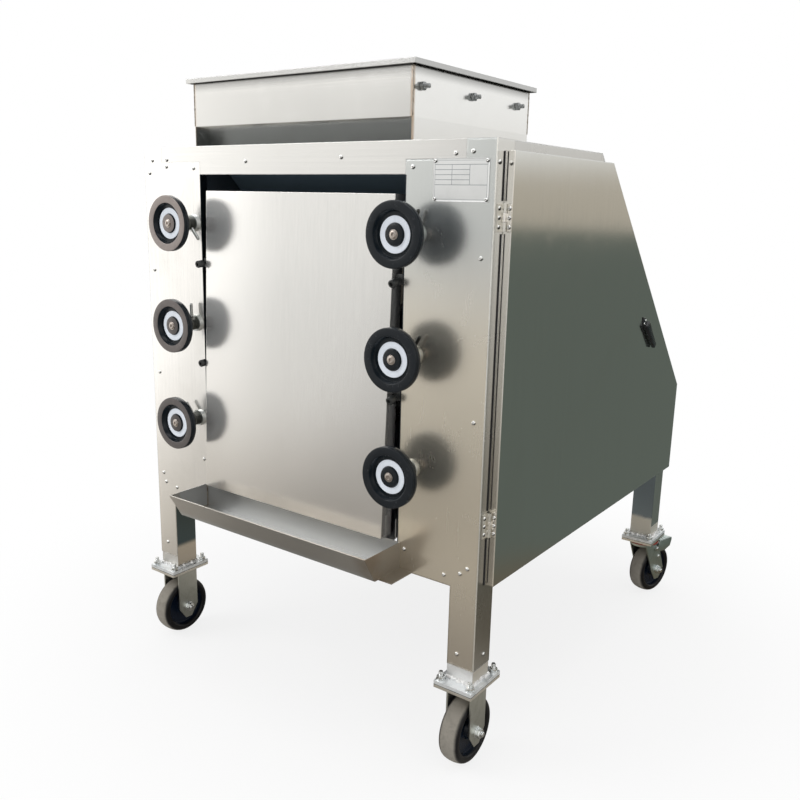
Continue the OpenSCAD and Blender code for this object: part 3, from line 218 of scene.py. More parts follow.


# painted shade: the dark navy laid on the column edges inside the side slots
slotShade = (0.02, 0.028, 0.036)
slotTop = 1.2335
# painted reflection: the panel is lighter towards the left, darker and warmer low down
sheetFront = stainless("sheetFront", metal=0.8, shades=[
    ("x", -0.02, -0.285, 0.95, (1, 0.99, 0.97)), ("z", 1.05, 0.42, 0.48, (0.66, 0.615, 0.56))])
# painted reflection and shade: darker and warmer near the foot, much darker on the outer left face, painted shade on
# the edge inside the slot
sheetLeft = stainless("sheetLeft", colour=(0.9, 0.885, 0.865), metal=0.86, shades=[
    ("z", 0.5, 0.22, 0.6, (0.76, 0.73, 0.68)), ("x", -0.5115, -0.5128, 0.85, (0.5, 0.5, 0.49))],
    inner=[(-0.3122, -0.3114, slotTop, slotShade)])
# painted reflection and shade: cooler at the top, warm beige lower down, darker near the foot; the side face brightens
# with height, the slot edge is painted shade, the front fold a painted highlight
sheetRight = stainless("sheetRight", colour=(0.73, 0.735, 0.72), metal=0.92, rough=0.25, edge=0.005, shades=[
    ("z", 0.98, 1.16, 0.8, (0.63, 0.655, 0.65)), ("z", 1.13, 0.86, 0.85, (0.84, 0.77, 0.64)),
    ("z", 0.55, 0.2, 0.55, (0.62, 0.57, 0.51))],
    bands=[("x", 0.4855, 0.4865, 0.6, 1.25, (0.39, 0.385, 0.36), (0.78, 0.775, 0.75))],
    inner=[(0.2872, 0.2864, slotTop, slotShade)], folds=[(spot(500, 0, 0), 0.0026, (1, 0.99, 0.95))])
sheetBeam = stainless("sheetBeam", brush="x", metal=0.92)
sheetTray = stainless("sheetTray", brush="x", colour=(0.55, 0.555, 0.55), metal=0.8, rough=0.33, shades=[
    ("y", -0.62, -0.632, 0.75, (0.45, 0.42, 0.375)), ("x", 0.289, 0.2905, 0.8, (0.33, 0.29, 0.24))],
    scorch=[(spot(303, -100, 0), 0.05, 0.7, (0.32, 0.26, 0.2))])
# painted reflection and shade: darker front face, dark slanted face below the front, lighter right end, a painted
# shadow band under the rim, a darker rim and a darker left end
sheetHopper = stainless("sheetHopper", brush="x", shades=[
    ("y", -0.53, -0.534, 0.85, (0.6, 0.597, 0.585)), ("z", 1.343, 1.339, 0.9, (0.28, 0.29, 0.287)),
    ("x", 0.295, 0.2965, 0.9, (0.86, 0.86, 0.845)), ("z", 1.412, 1.433, 0.7, (0.26, 0.26, 0.255)),
    ("z", 1.4335, 1.4345, 0.9, (0.5, 0.5, 0.495)), ("x", -0.321, -0.3225, 0.9, (0.52, 0.52, 0.51))],
    throat=(-0.3, 1.2985, (0.2, 0.28, 0.35)),
    scorch=[(spot(310, 1, 0), 0.009, 0.9, (0.44, 0.34, 0.25)), (spot(-310, 1, 0), 0.008, 0.6, (0.5, 0.42, 0.34))])
# painted light: the deck is a lighter copy of the stainless, the closed left side and the rear cover darker copies
sheetDeck = stainless("sheetDeck", brush="y", colour=(0.98, 0.98, 0.97), metal=0.75)
sheetSide = stainless("sheetSide", brush="y", colour=(0.47, 0.475, 0.47), stain=(0.4, 0.395, 0.38))
sheetBack = stainless("sheetBack", brush="x", colour=(0.42, 0.425, 0.42), stain=(0.36, 0.355, 0.345), rough=0.4)
# painted reflection: the door's front edge face is light and brightens with height
sheetDoor = stainless("sheetDoor", colour=(0.73, 0.74, 0.72), rough=0.12, edge=0.0025,
                      bands=[("y", -0.5012, -0.5026, 0.6, 1.15, (1, 0.96, 0.89), (1, 0.975, 0.93))])
sheetTube = stainless("sheetTube", colour=(0.7, 0.7, 0.69), rough=0.26)

# Leg tubes: polished, ground bright at the front feet, with zinc plates welded under them; the rear and inner faces
# carry painted shade and painted reflection
legTube = {
    "tube": (0.7, 0.7, 0.69), "rearShade": (0.255, 0.315, 0.36), "inner": (0.11, 0.15, 0.165),
    "innerLow": (0.76, 0.7, 0.61), "ground": (0.84, 0.84, 0.83), "groundSideShade": (0.58, 0.535, 0.455),
    "rearReflection": (0.67, 0.64, 0.56), "leftFront": (0.64, 0.615, 0.57), "scratched": (0.48, 0.47, 0.45),
    "plate": (0.9, 0.93, 0.95), "mottle": (0.46, 0.5, 0.53), "gap": (0.05, 0.05, 0.05), "frontFace": -0.5339,
    "rearFace": 0.5051, "groundZ": 0.2345, "rearZ": 0.268, "rearBlend": 0.016, "innerZ": 0.262, "innerBlend": 0.008,
    "plateZ": 0.2004, "seam": 0.1917,
}


def tubeFinish(name):
    look = legTube
    f, point = begin(name)
    x, y, z = f.axes(point)
    grain = f.cloud(f.moved(point, scale=(330, 330, 1.4)), 1, 2)
    scratch = f.cloud(point, 260, 3, 0.6)
    cloud = f.cloud(point, 26, 4, 0.6, 0.8)
    # painted shade: the rear legs' front faces, under the cabinet, are dark; painted reflection: a beige band low on
    # the rear legs
    rearShade = (y > 0) * (y < look["rearFace"])
    reflectionBand = (z + (cloud - 0.5) * 0.012).ease(look["rearZ"], look["rearZ"] - look["rearBlend"])
    rear = (rearShade * reflectionBand).either((y > look["rearFace"]) * (z < look["groundZ"]))
    front = y < look["frontFace"]
    ground = (y < 0) * (z < look["groundZ"]) * front.either(x > 0)
    plate = z < look["plateZ"]
    base = f.mix(cloud.ease(0.45, 0.75) * 0.4, look["tube"], darker(look["tube"], 0.82))
    base = f.mix(rearShade, base, look["rearShade"])
    # painted shade and reflection: the left front leg's side and back faces are dark above innerZ and beige below
    high = z.ease(look["innerZ"] - look["innerBlend"], look["innerZ"] + look["innerBlend"])
    base = f.mix((y < 0) * (x < 0) * (1 - front), base, f.mix(high, look["innerLow"], look["inner"]))
    # bare tube ends: the right front leg's side faces take a darker beige, painted shade
    bare = f.mix(front, look["groundSideShade"], f.mix(x > 0, look["leftFront"], look["ground"]))
    base = f.mix(ground, base, f.mix(scratch * 0.35, bare, look["scratched"]))
    base = f.mix(rear, base, f.mix(scratch * 0.4, look["rearReflection"], darker(look["rearReflection"], 0.8)))
    base = f.mix(plate, base, f.mix(cloud.ease(0.46, 0.74) * 0.7, look["plate"], look["mottle"]))
    # painted shade in the seam between the plates
    base = f.mix(z < look["seam"], base, look["gap"])
    matte = ground.either(rear)
    metal = 1 - matte * (1 - plate) * 0.5 - plate * 0.35
    rough = 0.24 + matte * 0.16 + (grain - 0.5) * 0.08 + (scratch - 0.5) * 0.06
    relief = grain * (1 - matte) + scratch * matte
    return f.surface(colour=base, metal=metal, rough=rough, normal=f.bump(relief, 0.1, 0.0006, 0.0018))


print("stainless finishes made")


# Zinc plate and other hardware finishes

def zincPlate(name, colour=(0.66, 0.68, 0.68), tint=(0.58, 0.6, 0.56), rough=0.3, above=None):
    f, point = begin(name)
    flake = f.add("TexVoronoi", inputs={"Vector": point, "Scale": 160})
    cloud = f.cloud(point, 26, 4, 0.6, 0.8)
    base = f.mix(cloud.ease(0.4, 0.7), colour, tint)
    if above:  # a brighter plate on top, with painted shade in the seam where the next plate sits on it
        height, seam, bright = above
        z = f.axes(point)[2]
        base = f.mix(z > height, base, f.mix(cloud.ease(0.4, 0.7), bright, darker(bright, 0.86)))
        base = f.mix(z > seam, base, legTube["gap"])
    base = f.mix(flake.ease(0.05, 0.6) * 0.18, base, (0.8, 0.82, 0.83))
    roughness = rough + (cloud - 0.5) * 0.25 + flake * 0.1
    return f.surface(colour=base, metal=1, rough=roughness, normal=f.bump(cloud, 0.12, 0.0008, 0.0012))


def rivetFinish(name):  # bright domes with painted shade on their undersides
    f, point = begin(name)
    facing = f.facing()
    speck = f.cloud(point, 300, 3, 0.6)
    # painted shade: darker where the surface faces down
    under = f.dot(facing, (0.45, 0, -0.89)).ease(0.12, 0.45)
    base = f.mix(under * (0.75 + speck * 0.4), (0.93, 0.93, 0.92), (0.035, 0.033, 0.03))
    return f.surface(colour=base, metal=1, rough=0.14 + speck * 0.08, normal=f.bump(speck, 0.05, 0.0004))


def weldBead(name, colour, scorch, metal=1):
    f, point = begin(name)
    ripple = f.cloud(point, 420, 3, 0.6)
    scale = f.cloud(point, 90, 3, 0.6)
    base = f.mix(scale.ease(0.4, 0.7), colour, scorch)
    return f.surface(colour=base, metal=metal, rough=0.26 + scale * 0.25, normal=f.bump(ripple, 0.5, 0.001))


def blackBakelite(name):
    f, point = begin(name)
    dust = f.cloud(point, 70, 5, 0.7)
    wave = f.cloud(point, 380, 2, 0.5)
    base = f.mix(dust.ease(0.52, 0.85) * 0.5, (0.01, 0.012, 0.015), (0.045, 0.046, 0.048))
    return f.surface(colour=base, rough=0.22 + dust.ease(0.45, 0.85) * 0.2, specular=0.45,
                     normal=f.bump(wave, 0.04, 0.0005, 0.0012))


def castIron(name, colour, rough):
    f, point = begin(name)
    sand = f.cloud(point, 520, 4, 0.7)
    cloud = f.cloud(point, 14, 4, 0.6)
    base = f.mix(cloud, colour, darker(colour, 0.72))
    roughness = rough + (cloud - 0.5) * 0.2
    return f.surface(colour=base, metal=0.35, rough=roughness, normal=f.bump(sand, 0.35, 0.0008, 0.001))


def rollerSteel(name, colour, oily):
    f, point = begin(name)
    lathe = f.cloud(f.moved(point, scale=(900, 20, 20)), 1, 2)
    oil = f.cloud(point, 18, 4, 0.6)
    base = f.mix(oil.ease(0.42, 0.72) * 0.6, colour, oily)
    return f.surface(colour=base, metal=1, rough=0.28 + lathe * 0.12, normal=f.bump(lathe, 0.15, 0.0005, 0.0008))


def beltRubber(name, colour, dusty):
    f, point = begin(name)
    weave = f.cloud(point, 650, 3, 0.6)
    dust = f.cloud(point, 30, 4, 0.6)
    base = f.mix(dust.ease(0.45, 0.8) * 0.6, colour, dusty)
    return f.surface(colour=base, rough=0.78 + weave * 0.15, normal=f.bump(weave, 0.3, 0.0006))


zinc = zincPlate("zinc")
zincMount = zincPlate("zincMount", (0.6, 0.62, 0.57), (0.5, 0.52, 0.46), 0.32, (0.1835, 0.1904, (0.98, 0.95, 0.88)))
zincGreen = zincPlate("zincGreen", (0.55, 0.63, 0.6), (0.46, 0.54, 0.51), 0.32)
screwSteel = zincPlate("screwSteel", (0.46, 0.395, 0.35), (0.34, 0.285, 0.25), 0.22)
hingeSteel = zincPlate("hingeSteel", (0.9, 0.875, 0.81), (0.76, 0.73, 0.66), 0.26)
boltZinc = zincPlate("boltZinc", (0.84, 0.86, 0.86), (0.66, 0.68, 0.68), 0.16)
rivetSteel = rivetFinish("rivetSteel")
weld = weldBead("weld", (0.96, 0.96, 0.95), (0.66, 0.65, 0.64), 0.6)
weldDark = weldBead("weldDark", (0.42, 0.38, 0.33), (0.24, 0.2, 0.16))
bakelite = blackBakelite("bakelite")
bearingIron = castIron("bearingIron", (0.075, 0.095, 0.115), 0.45)
motorPaint = castIron("motorPaint", (0.16, 0.24, 0.32), 0.42)
roller = rollerSteel("roller", (0.34, 0.36, 0.38), (0.2, 0.21, 0.22))
# painted shade: a dark dull finish on the front and feed rollers, which sit in shade behind the slot
rollerInShade = beltRubber("rollerInShade", (0.056, 0.072, 0.084), (0.046, 0.06, 0.07))
rubber = beltRubber("rubber", (0.02, 0.02, 0.021), (0.1, 0.095, 0.088))
sealBlack = beltRubber("sealBlack", (0.008, 0.008, 0.009), (0.02, 0.02, 0.02))
rodSteel = zincPlate("rodSteel", (0.26, 0.27, 0.27), (0.16, 0.17, 0.17), 0.3)
screwBlack = castIron("screwBlack", (0.045, 0.048, 0.048), 0.34)
sealRubber = beltRubber("sealRubber", (0.3, 0.045, 0.03), (0.38, 0.12, 0.09))
print("hardware finishes made")


# Handwheels: black moulding with a white ring round the hub

wheelLook = {
    "ringInner": 0.0225, "ringOuter": 0.0356, "ringFace": -0.0708, "ringDepth": 0.0006,
    "ringColour": (0.86, 0.91, 0.98), "ringScuff": (0.64, 0.68, 0.74), "backLow": (0.045, 0.06, 0.075),
    "backHigh": (0.135, 0.155, 0.172), "rimFace": -0.0802, "hubFace": -0.0742, "hubRadius": 0.0206,
    "rimDust": (0.36, 0.31, 0.285),
}


def handwheelFinish(name, centre, dusty):
    look = wheelLook
    f, point = begin(name)
    x, y, z = f.axes(f.moved(point, centre))
    radius = (x * x + z * z).root()
    dust = f.cloud(point, 70, 5, 0.7)
    wave = f.cloud(point, 380, 2, 0.5)
    scuff = f.cloud(f.moved(point, scale=(60, 60, 9)), 1, 5, 0.7)
    black = f.mix(dust.ease(0.52, 0.85) * 0.4, (0.006, 0.01, 0.014), (0.03, 0.036, 0.042))
    # painted light: the backs of the wheels are lighter grey, lighter still towards the top
    behind = f.axes(f.facing())[1].ease(0.4, 0.8)
    black = f.mix(behind, black, f.mix(z.ease(-0.02, 0.06), look["backLow"], look["backHigh"]))
    hub = (radius < look["hubRadius"]) * (y < look["hubFace"])
    face = (hub * 0.7).either(y < look["rimFace"]) * (0.75 + dust * 0.5)
    black = f.mix(face * dusty, black, look["rimDust"])
    white = f.mix(scuff.ease(0.45, 0.8) * 0.5, look["ringColour"], look["ringScuff"])
    ring = (radius > look["ringInner"]) * (radius < look["ringOuter"])
    ring = ring * (y < look["ringFace"] + look["ringDepth"]) * (y > look["ringFace"] - look["ringDepth"])
    base = f.mix(ring, black, white)
    roughness = 0.2 + dust.ease(0.45, 0.85) * 0.2 + ring * 0.22
    return f.surface(colour=base, rough=roughness, specular=0.22, normal=f.bump(wave, 0.04, 0.0005, 0.0008))


# Lock collars: dark steel, knurled round the collar
knurl = {
    "ridges": 40, "collar": 0.0165, "colour": (0.035, 0.038, 0.034), "reflectionBand": (0.15, 0.155, 0.14),
    # painted shade: the rods on the right are a near-black copy of the silver ones on the left
    "rod": {"left": (0.58, 0.59, 0.57), "right": (0.05, 0.052, 0.05)},
}


def knurledFinish(name, centre, side):
    f, point = begin(name)
    x, y, z = f.axes(f.moved(point, centre))
    radius = (x * x + z * z).root()
    collar = radius < knurl["collar"]
    ridge = abs((x.angle(z) * knurl["ridges"]).fraction() - 0.5) * 2 * collar
    grime = f.cloud(point, 60, 4, 0.6)
    base = f.mix(ridge, knurl["colour"], knurl["reflectionBand"])
    base = f.mix(collar, knurl["rod"][side], base)
    base = f.mix(grime.ease(0.45, 0.75) * 0.5, base, (0.16, 0.155, 0.14))
    return f.surface(colour=base, metal=1, rough=0.26 + grime * 0.15, normal=f.bump(ridge, 0.7, 0.0012, 0.0008))


# Caster wheels: grey tread, black side walls, dark blue moulded centre

tyreLook = {
    "tread": (0.305, 0.282, 0.243), "wall": (0.007, 0.007, 0.008), "centre": (0.006, 0.011, 0.022),
    "treadRadius": 0.07, "treadHalf": 0.019, "centreRadius": 0.0552,
}


def tyreFinish(name, centre, along):
    look = tyreLook
    f, point = begin(name)
    away = f.away(point, centre)
    x = f.dot(away, tuple(along))
    radius = (f.dot(away, away) - x * x).root()
    grit = f.cloud(point, 900, 3, 0.6)
    wear = f.cloud(point, 38, 5, 0.65, 0.8)
    tread = f.mix(wear.ease(0.4, 0.75), look["tread"], darker(look["tread"], 0.78))
    side = (abs(x) + (wear - 0.5) * 0.003).ease(look["treadHalf"] - 0.0045, look["treadHalf"] + 0.003)
    side = 1 - (1 - side) * radius.ease(look["treadRadius"] - 0.004, look["treadRadius"] - 0.002)
    middle = 1 - radius.ease(look["centreRadius"] - 0.0008, look["centreRadius"])
    base = f.mix(side, tread, f.mix(wear.ease(0.5, 0.8) * 0.2, look["wall"], (0.05, 0.048, 0.045)))
    base = f.mix(middle, base, f.mix(wear.ease(0.55, 0.85) * 0.3, look["centre"], (0.05, 0.055, 0.065)))
    roughness = 0.86 - side * 0.54 - middle * 0.06 + (grit - 0.5) * 0.1
    return f.surface(colour=base, rough=roughness, specular=0.25,
                     normal=f.bump(grit * (1 - middle), 0.25, 0.0006, 0.0015))


# Which finish each visible solid part takes; the six adjusting stations stand in three rows on two sides

sideNames = {"left": -1, "right": 1}
rowHeights = {"low": 641, "middle": 881, "top": 1121}
stationX = 327
stations = [(side + "_" + row, side, sign * stationX, z)
            for row, z in rowHeights.items() for side, sign in sideNames.items()]
partFinishes = {
    "front_panel": sheetFront, "left_front_column": sheetLeft, "right_front_column": sheetRight,
    "front_top_beam": sheetBeam, "hopper_shell": sheetHopper, "discharge_tray": sheetTray,
    "discharge_chute": sheetTray, "top_deck": sheetDeck, "left_side_panel": sheetSide, "rear_cover": sheetBack,
    "side_door": sheetDoor, "frame_legs": tubeFinish("legTube"), "frame_rails": sheetTube, "caster_mounts": zincMount,
    "swivel_fork_left": zincGreen, "swivel_fork_right": zincGreen, "fixed_bearings": zinc, "door_hinges": hingeSteel,
    "motor_pulley": boltZinc, "bearing_plates": bearingIron, "drive_motor": motorPaint, "drive_belts": rubber,
    "feed_roller": rollerInShade,
}
for row in rowHeights:
    partFinishes["bearing_blocks_" + row] = bearingIron
    partFinishes["front_roller_" + row] = rollerInShade
    partFinishes["rear_roller_" + row] = roller
for tag, side, x, z in stations:
    partFinishes["lock_lever_" + tag] = knurledFinish("lock_" + tag, spot(x, 0, z), side)
for name, material in partFinishes.items():
    slots = nodes[name].data.materials
    slots.clear()
    slots.append(material)
print("solid parts dressed")


# Mesh helpers

toLeft, toRight, toFront, toBack, toTop = (-1, 0, 0), (1, 0, 0), (0, -1, 0), (0, 1, 0), (0, 0, 1)


def mm(outline):  # points given in millimetres, in metres
    return [(r / 1000, h / 1000) for r, h in outline]


def narrowed(profile, share):
    return [(r * share, h) for r, h in profile]


def oblong(u0, u1, v0, v1):
    return [(u0, v0), (u1, v0), (u1, v1), (u0, v1)]


def placed(name, data):  # a new object in the scene
    thing = bpy.data.objects.new(name, data)
    scene.collection.objects.link(thing)
    return thing


def finishPiece(name, mesh, material, body, smooth=True):
    bmesh.ops.remove_doubles(mesh, verts=mesh.verts, dist=1e-6)
    bmesh.ops.recalc_face_normals(mesh, faces=mesh.faces)
    data = bpy.data.meshes.new(name)
    mesh.to_mesh(data)
    mesh.free()
    if smooth:
        data.shade_smooth()
        data.set_sharp_from_angle(angle=math.radians(38))
    data.materials.append(material)
    piece = placed(name, data)
    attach(piece, body)
    return piece


def carry(part, matrix):
    bmesh.ops.transform(part, matrix=matrix, verts=part.verts)


def join(mesh, part, at=(0, 0, 0), axis=(0, 0, 1)):  # adds a part, standing at a point with its height along an axis
    turn = Vector((0, 0, 1)).rotation_difference(Vector(axis)).to_matrix().to_4x4()
    carry(part, Matrix.Translation(at) @ turn)
    scrap = bpy.data.meshes.new("scrap")
    part.to_mesh(scrap)
    part.free()
    mesh.from_mesh(scrap)
    bpy.data.meshes.remove(scrap)


def turned(mesh, profile, steps, at, axis, turns=1, pitch=0):  # (radius, height) points spun about an axis at a point
    part = bmesh.new()
    verts = [part.verts.new((r, 0, h)) for r, h in profile]
    edges = [part.edges.new(pair) for pair in zip(verts, verts[1:])]
    bmesh.ops.spin(part, geom=verts + edges, cent=(0, 0, 0), axis=(0, 0, 1), angle=math.tau * turns, steps=steps,
                   dvec=(0, 0, pitch * turns / steps), use_merge=not pitch)
    join(mesh, part, at, axis)


def bead(mesh, start, end, radius, lump, seed):  # a lumpy run of weld between two points
    part = bmesh.new()
    run = end - start
    bmesh.ops.create_cone(part, cap_ends=True, segments=8, radius1=radius, radius2=radius, depth=run.length)
    sides = [e for e in part.edges if abs(e.verts[0].co.z - e.verts[1].co.z) > run.length / 2]
    bmesh.ops.subdivide_edges(part, edges=sides, cuts=max(3, int(run.length / (radius * 0.7))))
    for v in part.verts:
        swell = 1 + lump * noise.noise(Vector((v.co.x * 40 + seed, v.co.y * 40, v.co.z * 190)))
        v.co.x *= swell
        v.co.y *= swell
    join(mesh, part, (start + end) / 2, run)


def soften(part, edges, offset, segments=2):
    bmesh.ops.bevel(part, geom=edges, offset=offset, offset_type="OFFSET", segments=segments, profile=0.5,
                    affect="EDGES", material=-1)


def slab(outline, low, high, rounding):  # an outline made a plate with softened edges
    part = bmesh.new()
    face = part.faces.new([part.verts.new((u, v, low)) for u, v in outline])
    grown = bmesh.ops.extrude_face_region(part, geom=[face])["geom"]
    lifted = [v for v in grown if isinstance(v, bmesh.types.BMVert)]
    bmesh.ops.translate(part, vec=(0, 0, high - low), verts=lifted)
    soften(part, [e for e in part.edges if min(v.co.z for v in e.verts) > (low + high) / 2], rounding, 3)
    return part


def block(sizes):  # a box about the origin, its sizes in millimetres
    part = bmesh.new()
    bmesh.ops.create_cube(part, size=1)
    bmesh.ops.scale(part, vec=Vector(sizes) / 1000, verts=part.verts)
    return part


def hexNut(mesh, look, at, axis):
    part, radius = bmesh.new(), look["nut"] / 1000
    bmesh.ops.create_cone(part, cap_ends=True, segments=6, radius1=radius, radius2=radius,
                          depth=look["nutThick"] / 1000)
    soften(part, part.edges[:], look["chamfer"] / 1000)
    join(mesh, part, at, axis)


def threadOutline(look, start):  # crests and roots from a height to near the end
    outline, at = [], start
    while at < look["end"] - look["pitch"]:
        outline += [(look["root"], at), (look["stud"], at + look["pitch"] / 2)]
        at += look["pitch"]
    return outline


standing = Matrix(((0, 0, 1), (1, 0, 0), (0, 1, 0))).to_4x4()  # stands a slab up, its thickness along x


# Pop rivets: a low flange, a dome and the sunk stem

rivet = {
    "profile": [(0.0046, 0), (0.0046, 0.0005), (0.0043, 0.0014), (0.0035, 0.0023), (0.0025, 0.0028), (0.0017, 0.0027),
        (0.0014, 0.0009), (0, 0.0009)],
    "rightColumn": [(450, 1275), (315, 1248), (475, 1082), (475, 765), (419, 430), (458, 443), (475, 458), (316, 459),
        (458.5, 262)],
    "leftColumn": [(-470, 1267), (-482, 1237), (-418, 1252), (-320, 1248), (-479, 1001), (-476, 738), (-314, 534),
        (-477, 464), (-468, 440), (-425, 433), (-472, 267)],
    "beam": [(-145, 1262.5), (134, 1268), (412, 1272), (-416, 1268)], "rightSide": [(11, 1256), (39, 259)],
}
mesh = bmesh.new()
for group in ("rightColumn", "leftColumn", "beam"):
    for x, z in rivet[group]:
        turned(mesh, rivet["profile"], 14, spot(x, 0, z), toFront)
for y, z in rivet["rightSide"]:
    turned(mesh, rivet["profile"], 14, spot(500, y, z), toRight)
finishPiece("frontRivets", mesh, rivetSteel, "cabinet")
print("rivets set")


# Rivets along the edges of the closed left side and the back
skinRivet = {
    "gap": 150, "inset": 15, "steps": 10, "sideX": -500, "sideY": (80, 1090), "footZ": 424, "topZ": 1283,
    "slopeY": (490, 1090), "slopeSum": 1768, "crownY": 500, "backX": (-482, 470), "backY": 1105.5,
}


def spaced(first, last, gap):
    count = max(1, round((last - first) / gap))
    return [first + (last - first) * i / count for i in range(count + 1)]


def skinHead(mesh, place, axis):
    turned(mesh, rivet["profile"], skinRivet["steps"], spot(*place), axis)


mesh = bmesh.new()
drop = skinRivet["inset"] * math.sqrt(2)
sideX, gap, (left, right) = skinRivet["sideX"], skinRivet["gap"], skinRivet["backX"]
for y in spaced(*skinRivet["sideY"], gap):
    skinHead(mesh, (sideX, y, skinRivet["footZ"]), toLeft)
for z in spaced(skinRivet["footZ"], skinRivet["topZ"], gap)[1:]:
    skinHead(mesh, (sideX, skinRivet["sideY"][0], z), toLeft)
for y in spaced(*skinRivet["slopeY"], gap):
    z = skinRivet["slopeSum"] - y
    skinHead(mesh, (sideX, y, z - drop), toLeft)
    for x in (left, 0, right) if y < skinRivet["crownY"] else (left, right):
        skinHead(mesh, (x, y, z), (0, 1, 1))
for x in spaced(left, right, gap):
    skinHead(mesh, (x, skinRivet["backY"], skinRivet["footZ"]), toBack)
finishPiece("skinRivets", mesh, rivetSteel, "cabinet")


# Nameplate left bare, with a ruled blank form and four rivets
nameplate = {
    "x": (363, 486), "z": (1184, 1263), "thick": 1.2, "corner": 0.0025, "border": 0.0022, "sunk": 0.0003,
    "rivets": 4.5, "rivetSize": 0.8, "rivetY": -0.9, "rules": 0.0092, "formLow": 0.0307, "formHigh": 0.0675,
    "columns": (0.042, 0.081), "line": 0.0006, "margin": 0.0045,
}
(plateLeft, plateRight), (plateLow, plateHigh) = nameplate["x"], nameplate["z"]
plateWide, plateTall = plateRight - plateLeft, plateHigh - plateLow


def plateFinish(name):
    f, point = begin(name)
    x, y, z = f.axes(f.moved(point, spot(plateLeft, 0, plateLow)))
    satin = f.cloud(f.moved(point, scale=(9, 9, 900)), 1, 2)
    haze = f.cloud(point, 30, 4, 0.6)
    low, high, line = nameplate["formLow"], nameplate["formHigh"], nameplate["line"]
    halfX, halfZ = plateWide / 2000, plateTall / 2000
    offX, offZ = abs(x - halfX), abs(z - halfZ)
    inX, inZ = halfX - nameplate["margin"], halfZ - nameplate["margin"]
    inside = (offX < inX) * (offZ < inZ)
    ruled = abs(((z - low) / nameplate["rules"] + 0.5).fraction() - 0.5) < line / nameplate["rules"]
    form = (z > low - line) * (z < high + line)
    ink = ruled * form * (x < nameplate["columns"][1]) + (abs(z - low) < line) + (abs(z - high) < line)
    for column in nameplate["columns"]:
        ink = ink + (abs(x - column) < line) * form
    ink = ink * inside + (offX < inX + line) * (offZ < inZ + line) * (1 - inside)
    ink = ink.ease(0.3, 0.6)
    base = f.mix(haze.ease(0.4, 0.75) * 0.5, (0.72, 0.73, 0.73), (0.64, 0.65, 0.65))
    base = f.mix(ink * 0.8, base, (0.2, 0.22, 0.24))
    return f.surface(colour=base, metal=0.85 - ink * 0.6, rough=0.3 + satin * 0.12 + ink * 0.2,
                     normal=f.bump(satin, 0.06, 0.0004, 0.0006))


mesh = block((plateWide, nameplate["thick"], plateTall))
uprights = [e for e in mesh.edges if abs(e.verts[0].co.y - e.verts[1].co.y) > 1e-5]
soften(mesh, uprights, nameplate["corner"], 4)
face = min(mesh.faces, key=lambda side: side.calc_center_median().y)
bmesh.ops.inset_individual(mesh, faces=[face], thickness=nameplate["border"], depth=-nameplate["sunk"])
middle = spot((plateLeft + plateRight) / 2, -nameplate["thick"] / 2, (plateLow + plateHigh) / 2)
bmesh.ops.translate(mesh, vec=middle, verts=mesh.verts)
finishPiece("nameplate", mesh, plateFinish("plateSatin"), "cabinet", smooth=False)
mesh = bmesh.new()
edge = nameplate["rivets"]
small = narrowed(rivet["profile"], nameplate["rivetSize"])
for x in (plateLeft + edge, plateRight - edge):
    for z in (plateLow + edge, plateHigh - edge):
        turned(mesh, small, 12, spot(x, nameplate["rivetY"], z), toFront)
finishPiece("nameplateRivets", mesh, rivetSteel, "cabinet")
print("nameplate fixed")


# Hinge screws: one column on each leaf
hingeScrew = {
    "head": [(0.0043, 0), (0.0041, 0.0009), (0.0032, 0.0017), (0.0022, 0.0019), (0.0019, 0.0003), (0, 0.0003)],
    "heights": (552, 1157), "step": 17,
    "leaves": {"Fixed": ((502, 14), toRight, "cabinet"), "Moving": ((513.8, 30.5), toFront, "door")},
}
for leaf, ((x, y), axis, body) in hingeScrew["leaves"].items():
    mesh = bmesh.new()
    for z in hingeScrew["heights"]:
        for i in (-1, 0, 1):
            turned(mesh, hingeScrew["head"], 12, spot(x, y, z + i * hingeScrew["step"]), axis)
    finishPiece("hingeScrews" + leaf, mesh, rivetSteel, body)


# Weld runs: bright round the leg feet, dark in the tray corners and up the hopper corners
welds = {
    "legX": 466.75, "legY": (33.25, 1072.25), "footHalf": 31.75, "footZ": 200.5, "footRadius": 0.0052,
    "footLump": 0.9, "trayX": 303, "trayBend": [(-2, 470), (-2, 413), (-84, 413), (-119, 470)], "trayRadius": 0.0016,
    "trayLump": 0.6, "hopperX": 310, "hopperY": (1, 463), "hopperZ": (1342, 1434), "hopperRadius": 0.00128,
    "hopperLump": 0.5,
}
legSpots = [(sign * welds["legX"], y) for sign in (-1, 1) for y in welds["legY"]]
mesh = bmesh.new()
half, foot = welds["footHalf"], welds["footZ"]
seed = 1
for x, y in legSpots:
    corners = oblong(x - half, x + half, y - half, y + half)
    for start, end in zip(corners, corners[1:] + corners[:1]):
        bead(mesh, spot(*start, foot), spot(*end, foot), welds["footRadius"], welds["footLump"], seed)
        seed += 1
finishPiece("footWelds", mesh, weld, "cabinet")
mesh = bmesh.new()
low, high = welds["hopperZ"]
for sign in (-1, 1):
    x, bend = sign * welds["trayX"], welds["trayBend"]
    for start, end in zip(bend, bend[1:]):
        bead(mesh, spot(x, *start), spot(x, *end), welds["trayRadius"], welds["trayLump"], seed)
        seed += 1
    x = sign * welds["hopperX"]
    for y in welds["hopperY"]:
        bead(mesh, spot(x, y, low), spot(x, y, high), welds["hopperRadius"], welds["hopperLump"], seed)
        seed += 1
finishPiece("sheetWelds", mesh, weldDark, "cabinet")
print("welds run")


